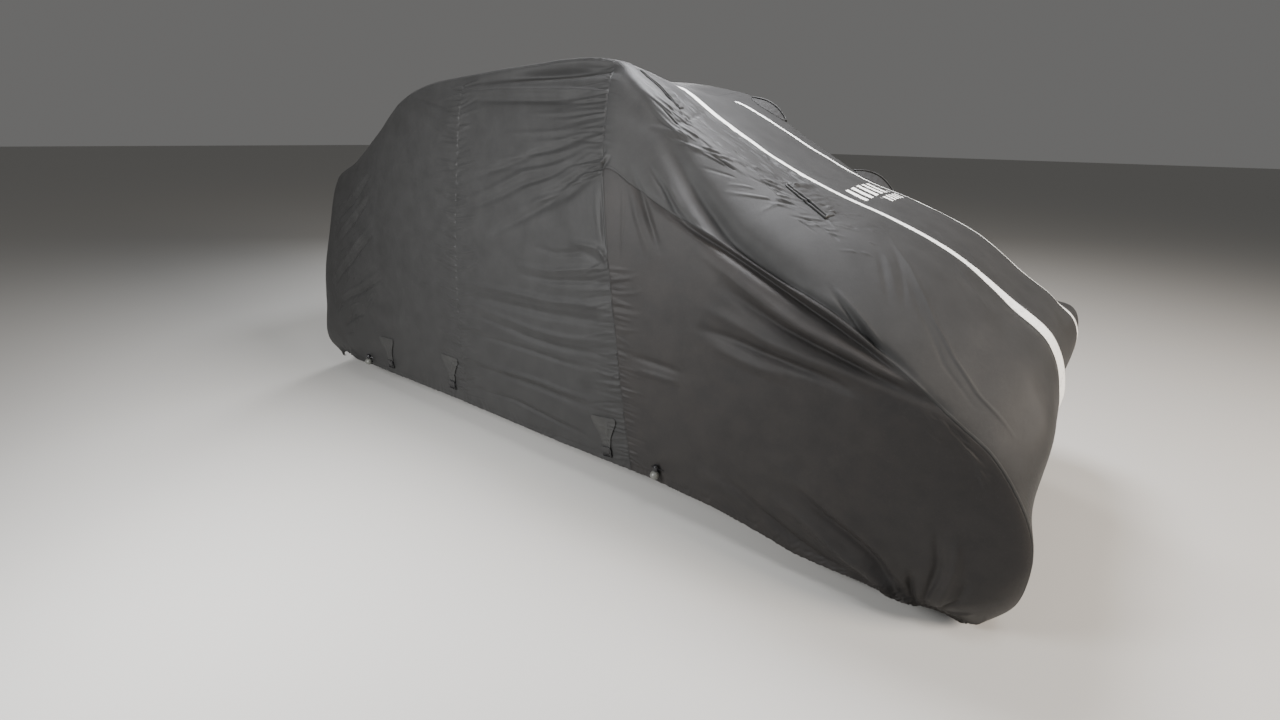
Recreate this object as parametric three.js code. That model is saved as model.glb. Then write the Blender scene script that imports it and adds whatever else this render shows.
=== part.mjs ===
import * as THREE from 'three';

// Fitted storage cover for a four-seat utility terrain vehicle, standing as it is worn, hollow inside.
// Millimetres, +X towards the nose, +Y to the cover's left, +Z up. The origin is at mid length and mid
// width, level with the lowest hem. The section table below is measured from the ground under the rear
// axle, which stands at axleX, groundZ.

const axleX = -1663;
const groundZ = -40;
const clothThick = 2;           // woven polyester with its coating and turned seams
const seamGap = 0.3;            // clear between sewn pieces
const tapeWide = 50;            // reflective tape
const tapeThick = 1;
const tapeLift = 0.35;          // tape clear of the cloth it is sewn on
const pipeRadius = 4;           // piping round a vent mouth
const patchLift = 0.7;          // tabs and locks clear of the cloth
const ventLift = 1.15;          // vents, which cross the cloth's creases

// Each section is a plane across the cover. x: where the plane meets the ground. tilt: degrees, 90 upright,
// 0 pointing forward. Out is the half width of a key line, up its distance along the plane. pull: how wide
// the cloth turns at the brow and hip, 1 soft to 0 sharp. far: how much the left side stands higher.
const columns = ['name', 'x', 'tilt', 'hemOut', 'hemUp', 'wideOut', 'wideUp', 'hipOut', 'hipUp', 'browOut',
  'browUp', 'tapeUp', 'crownUp', 'browPull', 'hipPull', 'far'];
const sectionRows = [
  ['tailHem', 50, 170, 700, 440, 665, 490, 570, 520, 430, 525, 525, 525, 0.9, 0.9, 0],
  ['tailLow', 50, 152, 760, 330, 760, 515, 650, 575, 490, 585, 590, 590, 0.9, 0.9, 0],
  ['tailMid', 50, 130, 785, 240, 795, 520, 700, 680, 520, 710, 730, 730, 0.8, 0.9, 0],
  ['tailUp', 50, 114, 795, 200, 800, 530, 700, 900, 540, 1050, 1080, 1080, 0.7, 0.9, 0],
  ['deck', 100, 106, 800, 185, 800, 550, 710, 1020, 565, 1335, 1375, 1380, 0.4, 0.9, 0],
  ['deckUp', 220, 98, 800, 185, 800, 600, 730, 1100, 580, 1425, 1480, 1490, 0.4, 0.9, 0],
  ['rise', 420, 94, 800, 185, 800, 620, 735, 1180, 590, 1575, 1630, 1645, 0.5, 0.9, 0],
  ['roofBack', 640, 91, 800, 190, 800, 620, 740, 1220, 600, 1740, 1785, 1800, 0.4, 0.9, 0],
  ['roofTwo', 880, 90, 800, 190, 800, 620, 740, 1240, 605, 1810, 1845, 1860, 0.35, 0.9, 0],
  ['seamOne', 1150, 90, 800, 190, 800, 620, 740, 1250, 605, 1835, 1870, 1885, 0.35, 0.9, 0],
  ['doorMid', 1510, 92, 800, 190, 800, 620, 740, 1280, 600, 1858, 1870, 1880, 0.35, 0.9, 0],
  ['doorTwo', 1910, 95, 800, 190, 800, 620, 740, 1340, 590, 1877, 1870, 1870, 0.35, 0.9, -10],
  ['seamTwo', 2310, 99, 800, 200, 800, 660, 735, 1490, 580, 1885, 1845, 1835, 0.4, 0.6, -50],
  ['header', 2410, 98, 800, 200, 800, 660, 735, 1433, 575, 1795, 1788, 1785, 0.5, 0.5, -35],
  ['pillar', 2530, 96.5, 800, 190, 800, 660, 735, 1345, 565, 1645, 1670, 1680, 0.6, 0.5, 0],
  ['screen', 2700, 94.5, 800, 180, 800, 640, 745, 1258, 540, 1485, 1525, 1540, 0.7, 0.5, 20],
  ['scuttle', 2880, 92.5, 800, 155, 800, 600, 760, 1163, 520, 1365, 1413, 1430, 0.8, 0.5, 15],
  ['hoodMid', 3060, 90, 800, 125, 805, 560, 770, 1060, 520, 1270, 1328, 1345, 0.8, 0.5, 15],
  ['hoodTwo', 3200, 85, 800, 125, 810, 520, 785, 938, 530, 1155, 1220, 1240, 0.8, 0.5, 25],
  ['hoodLip', 3270, 78, 800, 130, 810, 500, 790, 840, 560, 1040, 1103, 1120, 0.8, 0.5, 25],
  ['nose', 3290, 70, 800, 135, 810, 500, 790, 790, 600, 955, 1035, 1050, 0.8, 0.5, 30],
  ['grille', 3290, 62, 800, 145, 810, 480, 790, 738, 640, 860, 905, 900, 0.8, 0.5, 120],
  ['bumper', 3290, 50, 795, 155, 810, 460, 785, 660, 640, 635, 590, 580, 0.8, 0.5, 140],
  ['chin', 3290, 34, 785, 200, 800, 430, 755, 545, 620, 520, 470, 470, 0.8, 0.6, 50],
  ['noseHem', 3290, 7, 690, 325, 670, 380, 610, 405, 520, 410, 410, 410, 0.9, 0.9, 0],
];
const tapeOut = 270;            // middle of each tape from the centre line
const sections = sectionRows.map((row) => Object.fromEntries(columns.map((name, i) => [name, row[i]])));
const lastRow = sections.length - 1;
const rowOf = (name) => sections.findIndex((section) => section.name === name);

// Girth lines: 0 crown, 1 tape, 2 brow (roof edge), 3 hip, 4 widest, 5 hem, minus on the right side.
const keyLines = ['crown', 'tape', 'brow', 'hip', 'wide', 'hem'];
const softPull = 0.9;
const farShare = [0.3, 0.7, 1, 0.8, 0.2, 0];    // how far each key line of the left side follows 'far'
const [seamOne, seamTwo] = [rowOf('seamOne'), rowOf('seamTwo')];
const [tapeStart, tapeEnd] = [rowOf('header') - 0.25, rowOf('bumper')];

// Soft folds that pull across the cloth: a path of [row, girth line], half width and height (minus: trough).
const folds = [
  { name: 'hood trough above the hip seam', wide: 60, high: -22,
    path: [[14.4, -2.6], [14.9, -2.8], [15.8, -2.9], [16.7, -3.04]] },
  { name: 'hip seam ridge', wide: 40, high: 12, path: [[13.6, -3], [15.5, -3], [18.4, -3]] },
  { name: 'wing trough under the ridge', wide: 50, high: -24,
    path: [[14.3, -3.03], [15.4, -3.14], [16.8, -3.15], [18.2, -2.99]] },
  { name: 'wing trough two', wide: 45, high: -12, path: [[15.9, -3.29], [17.6, -3.24], [18.7, -2.99]] },
  { name: 'wing trough three', wide: 45, high: -9, path: [[14.9, -3.59], [17, -3.53]] },
  { name: 'gather ridge', wide: 50, high: 16,
    path: [[16.3, -4.54], [17.2, -4.63], [18, -4.75], [20, -4.89], [23, -4.97]] },
  { name: 'gather trough', wide: 45, high: -13,
    path: [[16.7, -4.34], [17.4, -4.49], [18.3, -4.58], [19.8, -4.76], [22.8, -4.88]] },
  { name: 'second gather ridge', wide: 45, high: 8, path: [[14.5, -4.67], [15.5, -4.74], [16.2, -4.8]] },
  { name: 'door roll under the roof edge', wide: 45, high: 7,
    path: [[9.2, -2.22], [10.4, -2.3], [11.9, -2.38]] },
  { name: 'door drag line, upper', wide: 45, high: -7, path: [[10.7, -3.06], [11.2, -2.99], [11.9, -2.9]] },
  { name: 'door drag line, lower', wide: 45, high: -8, path: [[9.3, -3.65], [10.7, -3.67], [12, -3.75]] },
  { name: 'door foot fold', wide: 45, high: 8, path: [[9.3, -4.55], [10.1, -4.62], [11.3, -4.65]] },
];

// How many faceted strips lie between one section and the next, and between one girth line and the next.
const stripsByRow = [1, 2, 2, 2, 2, 2, 2, 2, 2, 3, 4, 4, 2, 2, 3, 3, 3, 3, 2, 2, 2, 2, 2, 2];
const girthRight = { crown: 2, tape: 3, brow: 3, hip: 6, wide: 5 };
const girthLeft = { crown: 2, tape: 2, brow: 3, hip: 3, wide: 3 };

const clothColour = new THREE.Color('#4a4a4c');
const wingColour = new THREE.Color('#423e3c');
const tapeColour = new THREE.Color('#d9dad8');
const pipeColour = new THREE.Color('#2b2b2c');
const plasticColour = new THREE.Color('#1c1c1d');

function hermite(a, slopeA, b, slopeB, s) {
  const s2 = s * s;
  const s3 = s2 * s;
  return (2 * s3 - 3 * s2 + 1) * a + (s3 - 2 * s2 + s) * slopeA + (3 * s2 - 2 * s3) * b + (s3 - s2) * slopeB;
}

// The slope of a column at a row: half way between a smooth curve and one that never overshoots.
function rowSlope(name, i) {
  const value = (k) => sections[k][name];
  if (i === 0) return value(1) - value(0);
  if (i === lastRow) return value(i) - value(i - 1);
  const before = value(i) - value(i - 1);
  const after = value(i + 1) - value(i);
  const steady = before * after > 0 ? (2 * before * after) / (before + after) : 0;
  return 0.5 * steady + 0.25 * (before + after);
}

function sectionValue(name, u) {
  const i = Math.min(Math.floor(u), lastRow - 1);
  return hermite(sections[i][name], rowSlope(name, i), sections[i + 1][name], rowSlope(name, i + 1), u - i);
}

function sectionKeys(u) {
  const far = sectionValue('far', u);
  const key = (line, side) => {
    const name = keyLines[line];
    const out = name === 'crown' ? 0 : name === 'tape' ? tapeOut : sectionValue(name + 'Out', u);
    const up = sectionValue(name + 'Up', u) + (side >= 0 ? farShare[line] * far : 0);
    return new THREE.Vector2(side * out, up);
  };
  const right = [5, 4, 3, 2, 1].map((line) => key(line, -1));
  const left = [1, 2, 3, 4, 5].map((line) => key(line, 1));
  return [...right, key(0, 0), ...left];
}

const sectionCache = new Map();
function sectionCurve(u) {
  if (!sectionCache.has(u)) {
    const keys = sectionKeys(u);
    const turns = keys.map((key, i) => {
      const before = i > 0 ? key.clone().sub(keys[i - 1]).normalize() : new THREE.Vector2();
      const after = i < keys.length - 1 ? keys[i + 1].clone().sub(key).normalize() : new THREE.Vector2();
      return before.add(after).normalize();
    });
    const pulls = keys.map((key, i) => {
      const line = Math.abs(i - 5);
      if (line === 2) return sectionValue('browPull', u);
      return line === 3 ? sectionValue('hipPull', u) : softPull;
    });
    const tilt = THREE.MathUtils.degToRad(sectionValue('tilt', u));
    sectionCache.set(u, { keys, turns, pulls, tilt, x: sectionValue('x', u) });
  }
  return sectionCache.get(u);
}

// A point of the taut cover: u runs from the tail hem to the nose hem, v round the girth.
function tautPoint(u, v) {
  const { keys, turns, pulls, tilt, x } = sectionCurve(u);
  const j = Math.min(Math.max(Math.floor(v + 5), 0), keys.length - 2);
  const s = v + 5 - j;
  const length = keys[j].distanceTo(keys[j + 1]);
  const along = (axis) => hermite(keys[j][axis], turns[j][axis] * length * pulls[j], keys[j + 1][axis],
    turns[j + 1][axis] * length * pulls[j + 1], s);
  const up = along('y');
  return new THREE.Vector3(axleX + x + up * Math.cos(tilt), along('x'), groundZ + up * Math.sin(tilt));
}

function tautNormal(u, v) {
  const step = 0.02;
  const [u0, u1] = [Math.max(u - step, 0), Math.min(u + step, lastRow)];
  const [v0, v1] = [Math.max(v - step, -5), Math.min(v + step, 5)];
  const alongU = tautPoint(u1, v).sub(tautPoint(u0, v));
  const alongV = tautPoint(u, v1).sub(tautPoint(u, v0));
  return alongU.cross(alongV).normalize();
}

// Each fold's path is laid on the taut cover in short steps, and lifts the cloth near it like a soft bell.
const foldSteps = 12;
const foldPaths = folds.map(({ wide, high, path }) => {
  const points = [];
  for (let k = 0; k < path.length - 1; k += 1) {
    for (let i = 0; i <= foldSteps; i += 1) {
      const s = i / foldSteps;
      points.push(tautPoint(THREE.MathUtils.lerp(path[k][0], path[k + 1][0], s),
        THREE.MathUtils.lerp(path[k][1], path[k + 1][1], s)));
    }
  }
  return { wide, high, points };
});

function foldHeight(point) {
  let height = 0;
  for (const { wide, high, points } of foldPaths) {
    let nearest = Infinity;
    let place = 0;
    points.forEach((p, i) => {
      const distance = p.distanceTo(point);
      if (distance < nearest) [nearest, place] = [distance, i / (points.length - 1)];
    });
    const fade = Math.sin(Math.PI * Math.min(Math.max(place, 0.04), 0.96)) ** 0.5;
    height += high * fade * Math.exp(-((nearest / wide) ** 2));
  }
  return height;
}

function drapedPoint(u, v) {
  const point = tautPoint(u, v);
  return point.addScaledVector(tautNormal(u, v), foldHeight(point));
}

// The lines of the grid that every piece of cloth shares.
const rowLines = [];
stripsByRow.forEach((strips, i) => {
  for (let k = 0; k < strips; k += 1) rowLines.push(i + k / strips);
});
rowLines.push(lastRow);

// A tape's edges keep their distance from its middle, so their girth value changes along the cover.
function tapeEdge(u, side, outward) {
  const curve = sectionCurve(u);
  const middle = 5 + side;
  const length = curve.keys[middle].distanceTo(curve.keys[middle + side * outward]);
  return side * (1 + outward * (tapeWide / 2) / length);
}

function girthBetween(side, fromLine, toLine) {
  const strips = side < 0 ? girthRight : girthLeft;
  const lines = [];
  for (let line = fromLine; line < toLine; line += 1) {
    const count = strips[keyLines[line]];
    for (let k = 0; k < count; k += 1) lines.push(() => side * (line + k / count));
  }
  lines.push(() => side * toLine);
  return side < 0 ? lines.reverse() : lines;
}

// From one brow or hip over the crown to the other, with the tapes' edges in place of the line by them.
function girthOver(edgeLine) {
  const half = (side) => {
    const strips = side < 0 ? girthRight : girthLeft;
    const lines = [() => side * 0.5, (u) => tapeEdge(u, side, -1), () => side, (u) => tapeEdge(u, side, 1)];
    for (let k = 1; k <= strips.tape; k += 1) lines.push(() => side * (1.1 + 0.9 * (k / strips.tape)));
    for (let line = 2; line < edgeLine; line += 1) {
      const count = strips[keyLines[line]];
      for (let k = 1; k <= count; k += 1) lines.push(() => side * (line + k / count));
    }
    return lines;
  };
  return [...half(-1).reverse(), () => 0, ...half(1)];
}

// A closed sheet from rows of outer points and the normals to thicken it inward along.
function sheetGeometry(outer, normals, thick) {
  const [rows, cols] = [outer.length, outer[0].length];
  const positions = [];
  for (const depth of [0, thick]) {
    outer.forEach((row, i) => row.forEach((point, j) => {
      positions.push(...point.clone().addScaledVector(normals[i][j], -depth).toArray());
    }));
  }
  const at = (i, j, layer) => layer * rows * cols + i * cols + j;
  const faces = [];
  const quad = (a, b, c, d) => faces.push(a, b, c, a, c, d);
  for (let i = 0; i < rows - 1; i += 1) {
    for (let j = 0; j < cols - 1; j += 1) {
      quad(at(i, j, 0), at(i + 1, j, 0), at(i + 1, j + 1, 0), at(i, j + 1, 0));
      quad(at(i, j, 1), at(i, j + 1, 1), at(i + 1, j + 1, 1), at(i + 1, j, 1));
    }
    quad(at(i, 0, 1), at(i + 1, 0, 1), at(i + 1, 0, 0), at(i, 0, 0));
    quad(at(i, cols - 1, 0), at(i + 1, cols - 1, 0), at(i + 1, cols - 1, 1), at(i, cols - 1, 1));
  }
  for (let j = 0; j < cols - 1; j += 1) {
    quad(at(0, j, 0), at(0, j + 1, 0), at(0, j + 1, 1), at(0, j, 1));
    quad(at(rows - 1, j, 1), at(rows - 1, j + 1, 1), at(rows - 1, j + 1, 0), at(rows - 1, j, 0));
  }
  const geometry = new THREE.BufferGeometry();
  geometry.setAttribute('position', new THREE.Float32BufferAttribute(positions, 3));
  geometry.setIndex(faces);
  geometry.computeVertexNormals();
  return geometry;
}

// Pulls the border of a grid of points back from the seam by half the gap.
function insetBorder(points, gap) {
  const [rows, cols] = [points.length, points[0].length];
  const moved = points.map((row) => row.map((point) => point.clone()));
  const pull = (i, j, k, l) => {
    const way = points[k][l].clone().sub(points[i][j]).normalize();
    moved[i][j].addScaledVector(way, gap / 2);
  };
  for (let i = 0; i < rows; i += 1) {
    pull(i, 0, i, 1);
    pull(i, cols - 1, i, cols - 2);
  }
  for (let j = 0; j < cols; j += 1) {
    pull(0, j, 1, j);
    pull(rows - 1, j, rows - 2, j);
  }
  return moved;
}

function gridOf(us, vLines, pointOf) {
  return us.map((u) => vLines.map((line) => pointOf(u, line(u))));
}

function clothPiece(rowFrom, rowTo, vLines) {
  const us = rowLines.filter((u) => u >= rowFrom - 1e-6 && u <= rowTo + 1e-6);
  const points = insetBorder(gridOf(us, vLines, drapedPoint), seamGap);
  return sheetGeometry(points, gridOf(us, vLines, tautNormal), clothThick);
}

function tapePiece(side) {
  const first = rowLines.find((u) => u >= tapeStart);
  const us = rowLines.filter((u) => u >= first && u <= tapeEnd + 1e-6);
  const lines = [(u) => tapeEdge(u, side, -1), () => side, (u) => tapeEdge(u, side, 1)];
  const vLines = side < 0 ? lines.reverse() : lines;
  const raised = (u, v) => drapedPoint(u, v).addScaledVector(tautNormal(u, v), tapeLift + tapeThick);
  return sheetGeometry(gridOf(us, vLines, raised), gridOf(us, vLines, tautNormal), tapeThick);
}

// The place [u, v] on the cover nearest to a point, found by a few steps from a guess.
function placeNear(point, [uGuess, vGuess]) {
  let [u, v] = [uGuess, vGuess];
  const step = 0.01;
  for (let pass = 0; pass < 5; pass += 1) {
    const here = drapedPoint(u, v);
    const alongU = drapedPoint(u + step, v).sub(here).divideScalar(step);
    const alongV = drapedPoint(u, v + step).sub(here).divideScalar(step);
    const miss = point.clone().sub(here);
    const [uu, uv, vv] = [alongU.dot(alongU), alongU.dot(alongV), alongV.dot(alongV)];
    const [mu, mv] = [miss.dot(alongU), miss.dot(alongV)];
    const scale = uu * vv - uv * uv;
    u = THREE.MathUtils.clamp(u + (mu * vv - mv * uv) / scale, 0.05, lastRow - 0.05);
    v = THREE.MathUtils.clamp(v + (mv * uu - mu * uv) / scale, -4.99, 4.99);
  }
  return [u, v];
}

// Trim sewn on the cloth is placed by two places [u, v] on the cover: where it starts and where it runs to.
function frameAt(place, towards, vLines) {
  const origin = drapedPoint(...place);
  const up = tautNormal(...place);
  const along = drapedPoint(...towards).sub(origin);
  along.addScaledVector(up, -along.dot(up)).normalize();
  return { place, vLines, origin, up, along, across: up.clone().cross(along) };
}

const inFrame = ({ origin, up, along, across }, a, b, c) => origin.clone()
  .addScaledVector(along, a).addScaledVector(across, b).addScaledVector(up, c);

// The point of a piece's faceted face at a place, between the four corners of the facet it falls in.
function facetPoint(u, v, vLines) {
  const i = Math.max(rowLines.findIndex((row) => row > u) - 1, 0);
  const [before, after] = [rowLines[i], rowLines[i + 1]];
  const s = (u - before) / (after - before);
  const lineAt = (line) => THREE.MathUtils.lerp(line(before), line(after), s);
  const j = Math.min(Math.max(vLines.findIndex((line) => lineAt(line) > v) - 1, 0), vLines.length - 2);
  const t = (v - lineAt(vLines[j])) / (lineAt(vLines[j + 1]) - lineAt(vLines[j]));
  const edge = (row) => drapedPoint(row, vLines[j](row)).lerp(drapedPoint(row, vLines[j + 1](row)), t);
  return edge(before).lerp(edge(after), s);
}

// A point of trim: its place in the frame brought down on the cloth, then raised by its own height.
function overCloth(frame, a, b, height) {
  const [u, v] = placeNear(inFrame(frame, a, b, 0), frame.place);
  return facetPoint(u, v, frame.vLines).addScaledVector(frame.up, height);
}

// Vents: a hood of cloth that stands up along its mouth and runs out flat at its back, with piping on the
// mouth. mouth: its two ends. rise: how high it stands on the right, where it has sagged shut, and on the left.
// bow: how far its mouth curves outward. The depth shrinks to endShare of itself at both ends of the mouth.
const vents = [
  { name: 'hood_vent', mouth: [[15.6, 1.67], [16.5, 2.0]], length: 210, depth: 110, rise: [14, 36], bow: 14 },
  { name: 'pillar_vent', mouth: [[12.6, 1.74], [13.75, 1.78]], length: 230, depth: 75, rise: [9, 26], bow: 8 },
];
const ventSteps = 8;
const endShare = 0.35;
const [archSharpness, slopeSharpness] = [0.8, 1.2];
const pipeSides = 8;
const pipeSteps = 12;

function ventShape({ mouth, length, depth, rise, bow }, side) {
  const [start, end] = mouth.map(([u, v]) => [u, side * v]);
  const frame = frameAt(start, end, girthOver(3));
  const inward = frame.across.y * side < 0 ? 1 : -1;
  const standing = rise[side < 0 ? 0 : 1];
  const point = (s, t, extra) => {
    const arch = Math.sin(Math.PI * s);
    const reach = depth * t * THREE.MathUtils.lerp(endShare, 1, arch) - bow * arch;
    const height = standing * arch ** archSharpness * (1 - t) ** slopeSharpness;
    return overCloth(frame, length * s, inward * reach, ventLift + clothThick + height + extra);
  };
  return { frame, inward, point };
}

function ventHood(shape) {
  const { frame, inward, point } = shape;
  const rows = [];
  for (let i = 0; i <= ventSteps; i += 1) {
    const row = [];
    for (let j = 0; j <= ventSteps / 2; j += 1) row.push(point(i / ventSteps, (2 * j) / ventSteps, 0));
    rows.push(inward > 0 ? row : row.reverse());
  }
  return sheetGeometry(rows, rows.map((row) => row.map(() => frame.up)), clothThick);
}

// The piping's round section, carried along a list of points.
function pipeGeometry(points) {
  const outline = new THREE.Shape();
  outline.absarc(0, 0, pipeRadius, 0, Math.PI * 2);
  return new THREE.ExtrudeGeometry(outline, {
    steps: pipeSteps, curveSegments: pipeSides / 2, extrudePath: new THREE.CatmullRomCurve3(points),
  });
}

// The piping lies along the mouth's edge, a little outside it and above it.
function ventPiping({ frame, inward, point }) {
  const mouth = [];
  for (let i = 0; i <= ventSteps; i += 1) mouth.push(point(i / ventSteps, 0, 0));
  const points = mouth.map((here, i) => {
    const ahead = mouth[Math.min(i + 1, ventSteps)];
    const tangent = ahead.clone().sub(mouth[Math.max(i - 1, 0)]).normalize();
    const away = frame.up.clone().multiplyScalar(0.8).addScaledVector(frame.across, -0.6 * inward);
    away.addScaledVector(tangent, -away.dot(tangent)).normalize();
    return here.clone().addScaledVector(away, pipeRadius + 2 * seamGap);
  });
  return pipeGeometry(points);
}

// Strap tabs: a taper of doubled cloth sewn near the hem, with a side-release buckle at its foot.
const tab = { long: 145, thick: 3, halfWidths: [74, 66, 50, 34, 26, 24] };
const tabPlaces = [['front', 11.6, 4.5], ['middle', 8.6, 4.41], ['rear', 6.15, 4.46]];
const buckle = { long: 52, wide: 54, thick: 12, corner: 8, waist: 5, bevel: 2 };

function tabPiece(frame) {
  const last = tab.halfWidths.length - 1;
  const rows = tab.halfWidths.map((half, i) => [-1, -0.33, 0.33, 1].map((k) => overCloth(frame,
    (tab.long * i) / last, k * half, patchLift + tab.thick)));
  return sheetGeometry(rows, rows.map((row) => row.map(() => frame.up)), tab.thick);
}

// The buckle's outline has its two release arms drawn in at the waist.
function bucklePiece(frame) {
  const { long, wide, thick, corner, waist, bevel } = buckle;
  const outline = new THREE.Shape();
  outline.moveTo(corner, -wide / 2);
  outline.quadraticCurveTo(long / 2, -wide / 2 + waist, long - corner, -wide / 2);
  outline.quadraticCurveTo(long, -wide / 2, long, -wide / 2 + corner);
  outline.lineTo(long, wide / 2 - corner);
  outline.quadraticCurveTo(long, wide / 2, long - corner, wide / 2);
  outline.quadraticCurveTo(long / 2, wide / 2 - waist, corner, wide / 2);
  outline.quadraticCurveTo(0, wide / 2, 0, wide / 2 - corner);
  outline.lineTo(0, -wide / 2 + corner);
  outline.quadraticCurveTo(0, -wide / 2, corner, -wide / 2);
  const geometry = new THREE.ExtrudeGeometry(outline, {
    depth: thick - 2 * bevel, bevelThickness: bevel, bevelSize: bevel, bevelOffset: -bevel, bevelSegments: 1,
    curveSegments: 4,
  });
  const seat = overCloth(frame, tab.long + seamGap, 0, patchLift + bevel);
  const basis = new THREE.Matrix4().makeBasis(frame.along, frame.across, frame.up);
  return geometry.applyMatrix4(basis.setPosition(seat));
}

// Cord locks on the hem's drawcord: a spring barrel with its cord ends held in a ball below it.
const lock = { radius: 13, high: 26, rim: 3, ballRadius: 20 };
const lockPlaces = [['front', 13.36, 4.86], ['rear', 5.05, 4.88]];

function lockBody() {
  const { radius, high, rim } = lock;
  const profile = [[0, 0], [radius - rim, 0], [radius, rim], [radius, high - rim], [radius - rim, high],
    [0, high]].map(([x, y]) => new THREE.Vector2(x, y));
  return new THREE.LatheGeometry(profile, 14).rotateX(Math.PI / 2);
}

function lockPieces(frame) {
  const seat = overCloth(frame, 0, 0, patchLift + lock.radius);
  const body = lockBody().translate(seat.x, seat.y, seat.z);
  const ball = new THREE.SphereGeometry(lock.ballRadius, 14, 10).rotateX(Math.PI / 2);
  const centre = overCloth(frame, 0, 0, patchLift + lock.ballRadius);
  return { body, ball: ball.translate(centre.x, centre.y, seat.z - lock.ballRadius - seamGap) };
}

const cover = new THREE.Group();

function add(name, geometry, colour, roughness) {
  const material = new THREE.MeshStandardMaterial({ color: colour, roughness, metalness: 0 });
  const mesh = new THREE.Mesh(geometry, material);
  mesh.name = name;
  cover.add(mesh);
  return mesh;
}

add('roof_panel', clothPiece(0, seamTwo, girthOver(2)), clothColour, 0.7);
add('hood_panel', clothPiece(seamTwo, lastRow, girthOver(3)), clothColour, 0.7);
for (const [label, side] of [['right', -1], ['left', 1]]) {
  add(`rear_quarter_${label}`, clothPiece(0, seamOne, girthBetween(side, 2, 5)), clothColour, 0.7);
  add(`door_panel_${label}`, clothPiece(seamOne, seamTwo, girthBetween(side, 2, 5)), clothColour, 0.7);
  add(`wing_panel_${label}`, clothPiece(seamTwo, lastRow, girthBetween(side, 3, 5)), wingColour, 0.7);
  add(`tape_${label}`, tapePiece(side), tapeColour, 0.4);
  for (const vent of vents) {
    const shape = ventShape(vent, side);
    add(`${vent.name}_${label}`, ventHood(shape), clothColour, 0.7);
    add(`${vent.name}_piping_${label}`, ventPiping(shape), pipeColour, 0.6);
  }
  const sideLines = girthBetween(side, 3, 5);
  for (const [place, u, v] of tabPlaces) {
    const frame = frameAt([u, side * v], [u, side * 4.95], sideLines);
    add(`strap_tab_${place}_${label}`, tabPiece(frame), pipeColour, 0.7);
    add(`buckle_${place}_${label}`, bucklePiece(frame), plasticColour, 0.45);
  }
  for (const [place, u, v] of lockPlaces) {
    const pieces = lockPieces(frameAt([u, side * v], [u, side * 4.95], sideLines));
    add(`cord_lock_${place}_${label}`, pieces.body, plasticColour, 0.35);
    add(`cord_ball_${place}_${label}`, pieces.ball, plasticColour, 0.45);
  }
}

export default cover;
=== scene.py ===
import math

import bpy
import numpy as np
from mathutils import Matrix, Vector


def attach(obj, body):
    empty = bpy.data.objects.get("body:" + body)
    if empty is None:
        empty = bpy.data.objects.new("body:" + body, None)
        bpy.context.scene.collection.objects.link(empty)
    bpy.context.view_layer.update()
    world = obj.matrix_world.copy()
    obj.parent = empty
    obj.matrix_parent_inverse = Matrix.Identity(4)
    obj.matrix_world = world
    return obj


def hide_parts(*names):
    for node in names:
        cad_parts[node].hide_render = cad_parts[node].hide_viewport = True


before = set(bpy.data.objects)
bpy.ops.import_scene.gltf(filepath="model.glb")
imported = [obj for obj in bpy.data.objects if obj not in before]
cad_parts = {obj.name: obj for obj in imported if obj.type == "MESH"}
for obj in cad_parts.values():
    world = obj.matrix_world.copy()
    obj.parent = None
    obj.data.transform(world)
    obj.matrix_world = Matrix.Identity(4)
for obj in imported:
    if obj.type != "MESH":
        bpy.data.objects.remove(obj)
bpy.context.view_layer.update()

# Utility terrain vehicle cover, the fitted four-seat kind, as it hangs when worn.
# Metres here, millimetres in the settings below. +X is the nose, +Y the cover's left, +Z up.

mm = 0.001
body = "root"
rng = np.random.default_rng(21)


# the camera, at the reference picture's viewing angle

shot = {
    "place": (1.836, -2.517, 1.557), "turn": 34.64, "down": 22.32, "roll": -1.04,
    "lens": 15.47, "sensor": 36,
}


def makeCamera(s):
    turn, down, roll = (math.radians(s[k]) for k in ("turn", "down", "roll"))
    ahead = Vector((-math.sin(turn) * math.cos(down), math.cos(turn) * math.cos(down), -math.sin(down)))
    right = Vector((math.cos(turn), math.sin(turn), 0))
    below = ahead.cross(right)
    right, below = (right * math.cos(roll) + below * math.sin(roll),
                    below * math.cos(roll) - right * math.sin(roll))
    lens = bpy.data.cameras.new("camera")
    lens.lens, lens.sensor_width = s["lens"], s["sensor"]
    lens.clip_start, lens.clip_end = 0.05, 60
    camera = bpy.data.objects.new("camera", lens)
    turned = Matrix((right, -below, -ahead)).transposed().to_4x4()
    camera.matrix_world = Matrix.Translation(s["place"]) @ turned
    bpy.context.scene.collection.objects.link(camera)
    bpy.context.scene.camera = camera


makeCamera(shot)
print("camera set")


# the cover's shape: a table of sections across it, from the tail's hem to the nose's hem

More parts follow.
